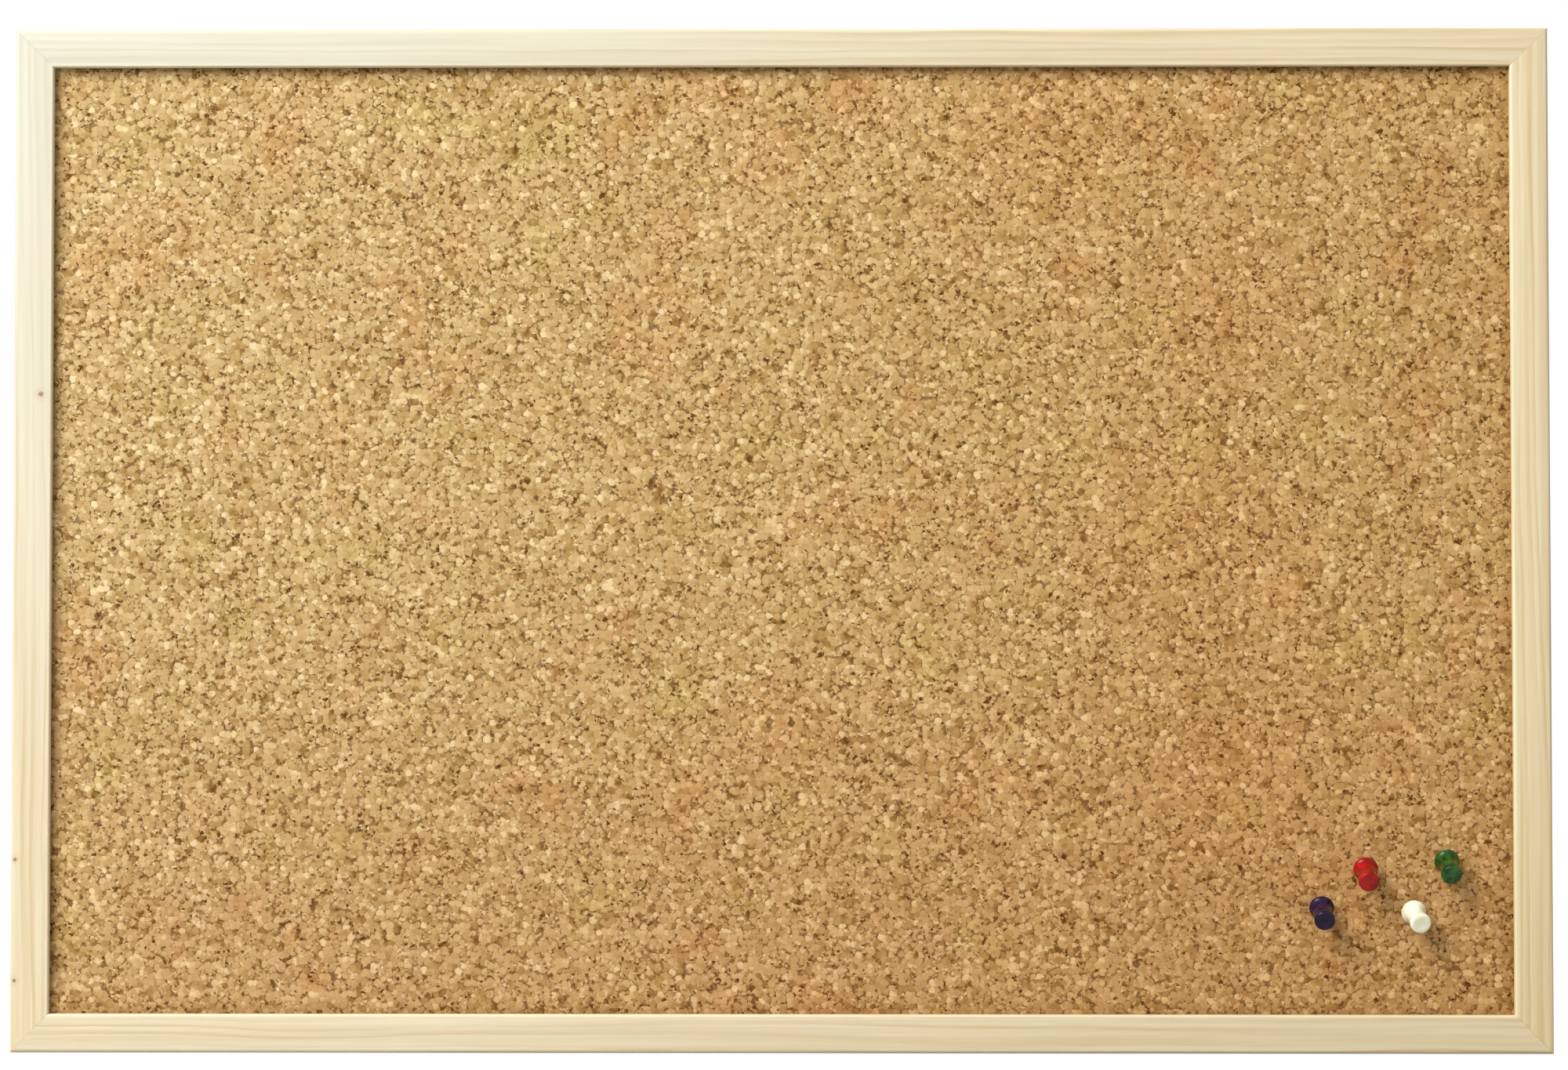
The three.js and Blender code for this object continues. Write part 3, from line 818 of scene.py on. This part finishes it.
def point_outline(side, number, grow):
    """A panel point seen from the front, with its tip in the rail."""
    turn = turn_to(side)
    drawn = points_of(f"panel_point_{side}_{number}") @ np.array(turn.inverted().to_3x3()).T
    low, shoulder, tip = np.unique(drawn[:, 2].round(7))
    left, middle, right = np.unique(drawn[:, 0].round(7))
    shape = [
        (left - grow, low - grow),
        (right + grow, low - grow),
        (right + grow, shoulder + grow),
        (middle, tip + 2 * grow),
        (left - grow, shoulder + grow),
    ]
    placed = [turn @ Vector((x, 0, z)) for x, z in shape]
    return [(p.x, p.z) for p in placed]


def point_numbers(side):
    return [n.rsplit("_", 1)[1] for n in sorted(frame["nodes"]) if n.startswith(f"panel_point_{side}")]


def rail_slots(side):
    """The slots for nails and panel points, and the hole for a hanger's screw."""
    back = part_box("frame_top")[1].y + CUT_PAST
    cutters = []
    for corner in CORNERS:
        if side in corner.split("_"):
            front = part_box(f"corner_nail_{corner}_1")[0].y - SLOT_GAP
            cutters += [slab("slot", shape, front, back) for shape in nail_outlines(corner, SLOT_GAP)]
    for number in point_numbers(side):
        low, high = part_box(f"panel_point_{side}_{number}")
        shape = point_outline(side, number, SLOT_GAP)
        cutters.append(slab("slot", shape, low.y - SLOT_GAP, high.y + SLOT_GAP))
    if side in HANDS:
        low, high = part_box(f"hanger_screw_{side}")
        hole = bar(THREAD_RADIUS + SLOT_GAP, low.y - SLOT_GAP, back, SCREW_HOLE_SEGMENTS)
        cutters.append(moved(hole, towards_wall((low + high) / 2)))
    return cutters


def towards_wall(place):
    """Takes a solid turned about Z, whose heights are places along Y, to a place on the board."""
    return Matrix.Translation((place.x, 0, place.z)) @ Matrix.Rotation(-TURN, 4, "X")


def map_rail(piece, side):
    """Maps a rail as one strip: along it, and round its section."""
    section = moulding()
    spans = np.linalg.norm(np.diff(section, axis=0, append=section[:1]), axis=1)
    round_share = np.concatenate([[0], np.cumsum(spans)]) / spans.sum()
    low, high = drawn_box(f"frame_{side}", side)
    half = rail_half(side)
    back = np.array(turn_to(side).inverted().to_3x3()).T
    mesh = piece.data
    layer = mesh.uv_layers.new(name="OFBake")
    edge_a, edge_b = section, np.roll(section, -1, 0)
    run = edge_b - edge_a
    for polygon in mesh.polygons:
        places = np.array([mesh.vertices[v].co for v in polygon.vertices]) @ back
        flat = np.stack([high.z - places[:, 2], places[:, 1] - low.y], -1)
        middle = flat.mean(0)
        share = np.clip(((middle - edge_a) * run).sum(1) / (run**2).sum(1), 0, 1)
        nearest = np.linalg.norm(edge_a + share[:, None] * run - middle, axis=1).argmin()
        step = np.clip((flat - edge_a[nearest]) @ run[nearest] / (run[nearest] ** 2).sum(), 0, 1)
        v = round_share[nearest] + step * (round_share[nearest + 1] - round_share[nearest])
        u = (places[:, 0] + half) / (2 * half)
        for loop, pair in zip(polygon.loop_indices, zip(u, v)):
            layer.data[loop].uv = pair


# Pine, in millimetres

# A dark pin knot or blemish: its place across and up from the board's middle, and its radius.
LEFT_RAIL_MARKS = [(-289.2, 56.6, 0.9), (-298.2, -125.0, 0.7), (-298.2, -172.0, 0.7)]
# Each rail's tint: partly its own wood's tone, and partly painted light and shade for how each side is
# lit.
RAIL_TONES_AND_SHADES = {
    "top": srgb(247, 247, 246),
    "right": srgb(251, 249, 243),
    "bottom": srgb(246, 247, 249),
    "left": srgb(248, 247, 246),
}
# The tree's pith, which the rings go round, seen from the rail drawn as the top rail is.
PITH_HEIGHT = 174.0
PITH_HEIGHT_STEP = 5.0  # how much lower it lies for each next rail
PITH_DEPTH = 34.0
PITH_DEPTH_STEP = 6.0
NEXT_CUT = 370.0  # how far along the plank the next rail was cut
GRAIN_LEAN = 0.004  # how far the grain climbs in each millimetre
GRAIN_DRIFT = 7.0
GRAIN_DRIFT_SIZES = (130.0, 60.0, 60.0)
GRAIN_SWAY = 1.6
GRAIN_SWAY_SIZES = (38.0, 9.0, 9.0)
RING_PITCH = 3.4
GROWTH_WANDER = 11.0
GROWTH_SIZES = (420.0, 9.0)  # along the rail and out from the pith
RING_FADE_LENGTH = 90.0
RING_FADE_YEARS = 1.7
PINE_BODY = (150.0, 3.0, 2.4)
PINE_BLUSH = (70.0, 12.0, 6.0)
PINE_FIBRE = (16.0, 0.3, 0.22)
PINE_PORE = (5.0, 0.14, 0.12)
PINE_BUMP = 0.03
PAINTED_LIGHT_RUN = (40.0, 400.0)  # up and to the left, from where the painted light begins to where it is strongest
PAINTED_SHADE_RUN = (100.0, 330.0)  # the same down and to the right, for painted shade that browns the frame
LIP_HIGHLIGHT_RUN = (0.6, 2.6)  # from where the painted highlight on the edge is brightest to where it ends
LIP_HIGHLIGHT_WAVE = 1.2
LIP_HIGHLIGHT_WAVE_SIZE = 9.0
# Places along Y between which the front's painted highlight and painted light fade out on the rail's
# edges.
LIP_HIGHLIGHT_FADE = (-20.5, -18.0)
PAINTED_LIGHT_FADE = (-20.5, -14.0)


def growth_rings(along, number):
    """One in the late wood of each year's growth, and zero in its early wood."""
    x, y, z = split(along)
    drift = times(less(streaks(along, GRAIN_DRIFT_SIZES, 1.0), 0.5), GRAIN_DRIFT)
    sway = times(less(streaks(along, GRAIN_SWAY_SIZES), 0.5), GRAIN_SWAY)
    bend = add(add(drift, sway), times(x, GRAIN_LEAN * (-1) ** number))
    rise = add(add(z, bend), PITH_HEIGHT_STEP * number - PITH_HEIGHT)
    deep = add(y, PITH_DEPTH + PITH_DEPTH_STEP * number)
    reach = compute("SQRT", add(times(rise, rise), times(deep, deep)))
    # The years' growth differs, so the rings lie close in one place and wide in another.
    far, out = [compute("DIVIDE", *pair) for pair in zip((x, reach), GROWTH_SIZES)]
    growth = noise(joined(far, out, 0.0), 1.0, 1.0)
    rings = compute("DIVIDE", add(reach, times(growth, GROWTH_WANDER)), RING_PITCH)
    year = compute("FLOOR", rings)
    season = compute("FRACT", rings)
    late = times(spread(season, 0.35, 0.86), spread(season, 1.0, 0.92))
    fade = joined(year, compute("DIVIDE", x, RING_FADE_LENGTH), 0.0)
    strong = spread(noise(fade, RING_FADE_YEARS), 0.3, 0.7, 0.12, 1.0)
    return times(late, strong)


def lip_highlight(place, side):
    """One half along the rail's inner edge, for a painted highlight there, and zero on its face."""
    wide, high = opening()
    x, _, z = split(vector("ABSOLUTE", place))
    gap = less(x, wide) if side in HANDS else less(z, high)
    wave = times(noise(place, LIP_HIGHLIGHT_WAVE_SIZE, 2.0), LIP_HIGHLIGHT_WAVE)
    return spread(add(gap, wave), *LIP_HIGHLIGHT_RUN, 0.5, 0.0)


def rail_painted_light_and_shade(place, side, colour):
    """Paints light on the frame at its top left, a highlight along its lip, and shade that browns its
    bottom right.
    """
    x, y, z = split(place)
    # Painted light at the top left of the front.
    pale = spread(less(z, times(x, 0.7)), *PAINTED_LIGHT_RUN, 0.0, 0.5)
    pale = times(pale, spread(y, *PAINTED_LIGHT_FADE, 1.0, 0.0))
    colour = tint(pale, colour, srgb(214, 221, 212))
    # Painted highlight along the lip's inner edge.
    lip_light = times(lip_highlight(place, side), spread(y, *LIP_HIGHLIGHT_FADE, 1.0, 0.0))
    colour = tint(lip_light, colour, srgb(252, 240, 204))
    # Painted shade at the bottom right.
    brown = spread(less(times(x, 0.5), z), *PAINTED_SHADE_RUN)
    return multiplied(colour, tint(brown, WHITE, srgb(246, 243, 235)))


def rail_marks(place, colour):
    """Sets the left rail's dark marks, each in a brownish halo."""
    for across, up, radius in LEFT_RAIL_MARKS:
        mark = spot(place, across, up, radius, radius * 0.6)
        halo = spot(place, across, up, radius * 2.6, radius * 2.0)
        colour = tint(times(halo, 0.3), colour, srgb(206, 170, 118))
        colour = tint(times(mark, 0.75), colour, srgb(120, 84, 50))
    return colour


def pine(side):
    """Pale pine with its grain along the rail: growth rings cut lengthwise, fibres and a few marks."""
    number = SIDES.index(side)
    values = {"Specular IOR Level": 0.35, "Coat Weight": 0.06, "Coat Roughness": 0.35}
    finish = Finish(f"pine_{side}", values)
    place = finish.place()
    along = node_after("ShaderNodeMapping", {
        "Vector": place,
        "Rotation": (0.0, -number * TURN, 0.0),
        "Location": (NEXT_CUT * number, 0.0, 0.0),
    }).outputs[0]
    late = growth_rings(along, number)
    body = streaks(along, PINE_BODY)
    colour = tint(spread(body, 0.3, 0.7), srgb(231, 214, 176), srgb(241, 228, 194))
    colour = tint(times(late, 0.74), colour, srgb(216, 189, 139))
    blush = streaks(along, PINE_BLUSH)
    colour = tint(spread(blush, 0.5, 0.75, 0.0, 0.5), colour, srgb(240, 214, 178))
    fibre = streaks(along, PINE_FIBRE, 3.0, 0.6)
    pore = streaks(along, PINE_PORE, 1.0)
    shade = times(spread(fibre, 0.25, 0.75, 0.955, 1.035), spread(pore, 0.72, 0.82, 1.0, 0.86))
    # Each rail's own tone with painted light and shade by side.
    colour = multiplied(shaded(colour, shade), RAIL_TONES_AND_SHADES[side])
    # Painted light, shade and highlight on the frame.
    colour = rail_painted_light_and_shade(place, side, colour)
    if side == "left":
        colour = rail_marks(place, colour)
    relief = add(times(fibre, 0.7), times(late, 0.3))
    return finish.coat(colour, spread(fibre, 0.3, 0.7, 0.46, 0.6), relief, PINE_BUMP, 0.5)


# Back of the board. Its finishes count in millimetres.

SCREEN_PITCH = 1.1
BOARD_FIBRE = 0.9
BOARD_CHIPS = (2.6, 1.0, 1.2)
BOARD_CLOUD = 60.0
HARDBOARD_BUMP = 0.16
SOFT_FIBRE = (1.6, 0.3, 0.7)
SOFT_BUMP = 0.3
BACK_EDGE = 0.3 * MM
NAIL_EDGE = 0.06 * MM
POINT_EDGE = 0.12 * MM


def hardboard():
    """Brown pressed board whose back keeps the weave of the screen that it was pressed on."""
    finish = Finish("hardboard", {"Specular IOR Level": 0.3})
    place = finish.place()
    x, _, z = split(place)
    across, up = [compute("SINE", times(way, math.pi / SCREEN_PITCH)) for way in (x, z)]
    weave = compute("SQRT", compute("ABSOLUTE", times(across, up)))
    fibre = noise(place, BOARD_FIBRE, 4.0, 0.65)
    chip = streaks(place, BOARD_CHIPS, 3.0, 0.6)
    cloud = noise(place, BOARD_CLOUD, 3.0)
    colour = tint(spread(cloud, 0.3, 0.7), srgb(126, 86, 54), srgb(142, 100, 65))
    colour = tint(spread(chip, 0.55, 0.75, 0.0, 0.6), colour, srgb(166, 124, 84))
    colour = tint(spread(chip, 0.42, 0.26, 0.0, 0.6), colour, srgb(92, 60, 36))
    shade = times(spread(fibre, 0.25, 0.75, 0.86, 1.1), spread(weave, 0.0, 0.8, 0.8, 1.04))
    relief = add(times(weave, 0.7), times(fibre, 0.3))
    roughness = spread(fibre, 0.3, 0.7, 0.72, 0.9)
    return finish.coat(shaded(colour, shade), roughness, relief, HARDBOARD_BUMP, 0.8)


def fibreboard():
    """Soft board of pressed wood fibre, seen only in the pins' holes."""
    finish = Finish("fibreboard", {"Specular IOR Level": 0.2})
    place = finish.place()
    fibre = streaks(place, SOFT_FIBRE, 4.0, 0.65)
    colour = ramp(fibre, [
        (0.25, srgb(128, 102, 68)),
        (0.5, srgb(168, 140, 99)),
        (0.8, srgb(196, 171, 130)),
    ])
    return finish.coat(colour, spread(fibre, 0.3, 0.7, 0.85, 0.98), fibre, SOFT_BUMP, 0.8)


def backing():
    """The hardboard back, whose map gives the shown face nearly all of its room."""
    low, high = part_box("backing_board")
    board = soften(block("back_panel", low, high), BACK_EDGE)
    spread_flat(smooth(board), low, high, front=1)
    return dress(board, hardboard(), "hardboard", "board", "backing_board")


def steel_plate(name, node, outline, edge, steel):
    """A small flat piece with the given outline, as deep as its CAD node."""
    low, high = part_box(node)
    plate = soften(slab(name, outline, low.y, high.y), edge)
    dress(smooth(plate), steel, "steel", "board", node)


def small_steel(steel):
    """Corner nails and panel points."""
    for corner in CORNERS:
        for number, shape in enumerate(nail_outlines(corner, 0), 1):
            end = f"{corner}_{number}"
            steel_plate(f"nail_{end}", f"corner_nail_{end}", shape, NAIL_EDGE, steel)
    for side in SIDES:
        for number in point_numbers(side):
            end, shape = f"{side}_{number}", point_outline(side, number, 0)
            steel_plate(f"tongue_{end}", f"panel_point_{end}", shape, POINT_EDGE, steel)


PAD_EDGE = 0.9 * MM
PAD_GUM = 0.28 * MM  # the gum between a pad and the frame
PAD_GUM_INSET = 0.5 * MM
PAD_FOOT_EDGE = 0.2 * MM
PAD_SEGMENTS = 48


def wall_pads():
    """Round rubber pads with a rounded top edge, each on a thin disc of gum."""
    skin = rubber()
    for corner in CORNERS:
        low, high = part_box(f"wall_pad_{corner}")
        wide = (high.x - low.x) / 2
        edge = arc((wide - PAD_EDGE, high.y - PAD_EDGE), PAD_EDGE, 0, 90, 6)
        gum = wide - PAD_GUM_INSET
        foot = [(gum, low.y - PAD_GUM), (gum, low.y), (wide, low.y + PAD_FOOT_EDGE)]
        outline = [(0, low.y - PAD_GUM), *foot, *edge, (0, high.y)]
        pad = moved(lathe(f"pad_{corner}", outline, PAD_SEGMENTS), towards_wall((low + high) / 2))
        dress(smooth(pad), skin, "rubber", "board", f"wall_pad_{corner}")


# Hangers

STRAP_THICKNESS = 0.8 * MM
STRAP_CORNER = 2.2 * MM
STRAP_HOLE = 1.5 * MM
STRAP_HOLE_SEGMENTS = 32
STRAP_EDGE = 0.1 * MM
STRAP_END_STEPS = 8
EYE_OPEN_DEGREES = 95
EYE_STEPS = 32
RING_CORNER = 1.5 * MM
RING_SPLIT = 0.6 * MM
WIRE_SIDES = 20
SCREW_SEGMENTS = 32
SCREW_SEAT = 0.02 * MM  # between the strap and the head
SCREW_TIP = 2 * MM
HEAD_SKIRT = 0.5 * MM
HEAD_UNDERCUT = 0.15 * MM
HEAD_EDGE = 0.7 * MM
HEAD_CROWN = 0.06 * MM
THREAD_RADIUS = 1.2 * MM
THREAD_CORE_SHARE = 0.72
THREAD_PITCH = 1.1 * MM
THREAD_STEPS = 8
THREAD_END = 0.6 * MM  # from the strap to the thread's last row
RECESS_LENGTH = 2.6 * MM
RECESS_WIDTH = 0.6 * MM
RECESS_DEPTH = 0.8 * MM


def hanger_strap(hand, zinc):
    """A strap lofted from its round end up and round its rolled eye, with a hole for the screw."""
    low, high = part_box(f"hanger_strap_{hand}")
    eye = (high.y - low.y) / 2
    pivot_y, pivot_z = low.y + eye, high.z - eye
    half = (high.x - low.x) / 2
    middle = (low.x + high.x) / 2
    layers = (eye, eye - STRAP_THICKNESS)
    rings = []
    for turn in np.linspace(0, TURN, STRAP_END_STEPS + 1):
        back = STRAP_CORNER * (1 - math.cos(turn))
        wide = half - STRAP_CORNER * (1 - math.sin(turn))
        rings.append((wide, [(pivot_y - layer, low.z + back) for layer in layers]))
    for angle in np.linspace(180, -EYE_OPEN_DEGREES, EYE_STEPS + 1):
        a = math.radians(angle)
        ends = [(pivot_y + layer * math.cos(a), pivot_z + layer * math.sin(a)) for layer in layers]
        rings.append((half, ends))
    shapes = []
    for wide, (outer, inner) in rings:
        shapes.append(np.array([
            (middle - wide, *outer),
            (middle + wide, *outer),
            (middle + wide, *inner),
            (middle - wide, *inner),
        ]))
    screw = sum(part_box(f"hanger_screw_{hand}"), Vector()) / 2
    strap = loft(f"strap_{hand}", shapes)
    hole = bar(STRAP_HOLE, low.y - CUT_PAST, high.y, STRAP_HOLE_SEGMENTS)
    carve(strap, [moved(hole, towards_wall(screw))])
    smooth(soften(strap, STRAP_EDGE))
    return dress(strap, zinc, "zinc_plate", "board", f"hanger_strap_{hand}")


def hanger_ring(hand, zinc):
    """A bent wire whose two ends meet inside the strap's eye."""
    low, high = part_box(f"hanger_ring_{hand}")
    wire = (high.y - low.y) / 2
    centre = (low + high) / 2
    half = (high.x - low.x) / 2 - wire
    top = high.z - wire
    path = np.array([
        (RING_SPLIT / 2, top),
        *arc((half - RING_CORNER, top - RING_CORNER), RING_CORNER, 90, 0, 8),
        *arc((0, low.z + wire + half), half, 0, -180, 40),
        *arc((RING_CORNER - half, top - RING_CORNER), RING_CORNER, 180, 90, 8),
        (-RING_SPLIT / 2, top),
    ])
    ahead = np.gradient(path, axis=0)
    ahead /= np.linalg.norm(ahead, axis=1)[:, None]
    turns = np.linspace(0, 2 * math.pi, WIRE_SIDES, endpoint=False)
    out, back = wire * np.cos(turns), wire * np.sin(turns)
    rings = []
    for (x, z), (ax, az) in zip(path, ahead):
        rings.append(np.stack([centre.x + x - az * out, centre.y + back, z + ax * out], -1))
    ring = smooth(loft(f"ring_{hand}", rings), TURNED_CREASE_DEGREES)
    return dress(ring, zinc, "zinc_plate", f"ring_{hand}", f"hanger_ring_{hand}")


def hanger_screw(hand, steel):
    """A wood screw with a thread, a domed head and a cross recess."""
    low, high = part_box(f"hanger_screw_{hand}")
    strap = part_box(f"hanger_strap_{hand}")[0].y + STRAP_THICKNESS + SCREW_SEAT
    wide = (high.x - low.x) / 2
    rows = np.arange(low.y + SCREW_TIP, strap - THREAD_END, THREAD_PITCH / THREAD_STEPS)
    dome = curve_through([
        (wide, strap + HEAD_SKIRT),
        (wide - 0.35 * HEAD_EDGE, high.y - 0.5 * HEAD_EDGE),
        (wide - 1.3 * HEAD_EDGE, high.y - HEAD_CROWN),
        (0.3 * wide, high.y),
    ], 4)
    outline = [
        (0, low.y),
        *[(THREAD_RADIUS, y) for y in rows],
        (THREAD_RADIUS, strap),
        (wide - HEAD_UNDERCUT, strap),
        *dome,
        (0, high.y),
    ]
    screw = lathe(f"screw_{hand}", outline, SCREW_SEGMENTS)
    for vertex in screw.data.vertices:
        x, y, height = vertex.co
        if height < rows[-1] and x * x + y * y > 0:
            turn = (height / THREAD_PITCH + math.atan2(y, x) / (2 * math.pi)) % 1
            share = THREAD_CORE_SHARE + (1 - THREAD_CORE_SHARE) * max(0, 1 - abs(turn - 0.5) * 4)
            vertex.co = (x * share, y * share, height)
    slots = []
    for turns in (0, 1):
        shape = block("recess", (-RECESS_LENGTH / 2, -RECESS_WIDTH / 2, high.y - RECESS_DEPTH),
                      (RECESS_LENGTH / 2, RECESS_WIDTH / 2, high.y + CUT_PAST))
        slots.append(moved(shape, Matrix.Rotation(turns * TURN, 4, "Z")))
    carve(screw, slots)
    moved(screw, towards_wall((low + high) / 2))
    return dress(smooth(screw, SCREW_CREASE_DEGREES), steel, "steel", "board", f"hanger_screw_{hand}")


# The whole board

def build_board():
    steel = metal("steel", srgb(200, 201, 203), srgb(168, 168, 170), 0.24)
    zinc = metal("zinc", srgb(206, 203, 190), srgb(180, 178, 169), 0.3)
    for side in SIDES:
        piece = smooth(rail(side))
        map_rail(piece, side)
        dress(piece, pine(side), "pine", "board", f"frame_{side}")
    cork_sheet()
    core = frame["nodes"]["core_board"]
    core.data.materials.clear()
    core.data.materials.append(fibreboard())
    backing()
    small_steel(steel)
    wall_pads()
    for hand in HANDS:
        hanger_strap(hand, zinc)
        hanger_ring(hand, zinc)
        hanger_screw(hand, steel)
    for colour in PIN_PAINTS:
        push_pin(colour, steel)


# Camera, light and floor

CAMERA_PLACE = Vector((10.6, -1221.7, -30.6)) * MM
CAMERA_AIM = Vector((1.4, -21.7, 1.4)) * MM
LENS = 70.7
SENSOR_WIDTH = 36
KEY_PLACE = Vector((-1.55, -1.6, 1.72))
KEY_SIZE = 1.9
KEY_WATTS = 98
BACK_PLACE = Vector((1.3, 1.9, 1.1))
BACK_SIZE = 1.2
BACK_WATTS = 36
FILL = 0.42
FLOOR_SIZE = 16.0
FLOOR_GLOW = 0.8
FLOOR_GAP = 0.2 * MM
FLOOR_FADE = (700.0, 2600.0)  # how far out, in millimetres, the floor turns into the white background


def aimed(data, place, aim=Vector((0, 0, 0))):
    """A camera or a lamp at its place, turned to what it is aimed at."""
    made = linked(data.name, data)
    made.location = place
    made.rotation_mode = "QUATERNION"
    made.rotation_quaternion = (aim - place).to_track_quat("-Z", "Y")
    return made


def add_camera():
    lens = bpy.data.cameras.new("camera")
    lens.lens = LENS
    lens.sensor_width = SENSOR_WIDTH
    bpy.context.scene.camera = aimed(lens, CAMERA_PLACE, CAMERA_AIM)


def add_lamp(name, place, size, watts):
    lamp = bpy.data.lights.new(name, "AREA")
    lamp.shape = "DISK"
    lamp.size = size
    lamp.energy = watts
    aimed(lamp, place)


def seen_rays(tree):
    """One for rays that show the background: from the camera, mirrored or through something clear."""
    path = new_node(tree, "ShaderNodeLightPath").outputs
    seen = compute("MAXIMUM", path["Is Camera Ray"], path["Is Glossy Ray"])
    return compute("MAXIMUM", seen, path["Is Transmission Ray"])


def add_world():
    world = bpy.data.worlds.new("studio")
    world.use_nodes = True
    bpy.context.scene.world = world
    background = world.node_tree.nodes["Background"]
    background.inputs["Color"].default_value = WHITE
    put(background.inputs["Strength"], spread(seen_rays(world.node_tree), 0.0, 1.0, FILL, 1.0))


def add_floor():
    """A pale floor under the board's bottom edge, which keeps a soft shadow."""
    level = cad_box[0].z - FLOOR_GAP
    half = FLOOR_SIZE / 2
    mesh = bpy.data.meshes.new("floor")
    corners = [(-half, -half), (half, -half), (half, half), (-half, half)]
    mesh.from_pydata([(x, y, level) for x, y in corners], [], [(0, 1, 2, 3)])
    finish = Finish("floor", {"Roughness": 0.9, "Specular IOR Level": 0.1, "Emission Strength": 1.0})
    seen = seen_rays(finish.tree)
    far = spread(length(finish.place()), *FLOOR_FADE)
    near = tint(seen, srgb(168, 168, 166), srgb(130, 130, 129))
    put(finish.shader.inputs["Base Color"], tint(far, near, srgb(60, 60, 60)))
    white = times(seen, add(FLOOR_GLOW, times(far, 1 - FLOOR_GLOW)))
    put(finish.shader.inputs["Emission Color"], joined(white, white, white))
    mesh.materials.append(finish.material)
    linked("floor", mesh)


build_board()
add_camera()
add_lamp("key", KEY_PLACE, KEY_SIZE, KEY_WATTS)
add_lamp("back", BACK_PLACE, BACK_SIZE, BACK_WATTS)
add_world()
add_floor()
bpy.context.scene.view_settings.view_transform = "Standard"
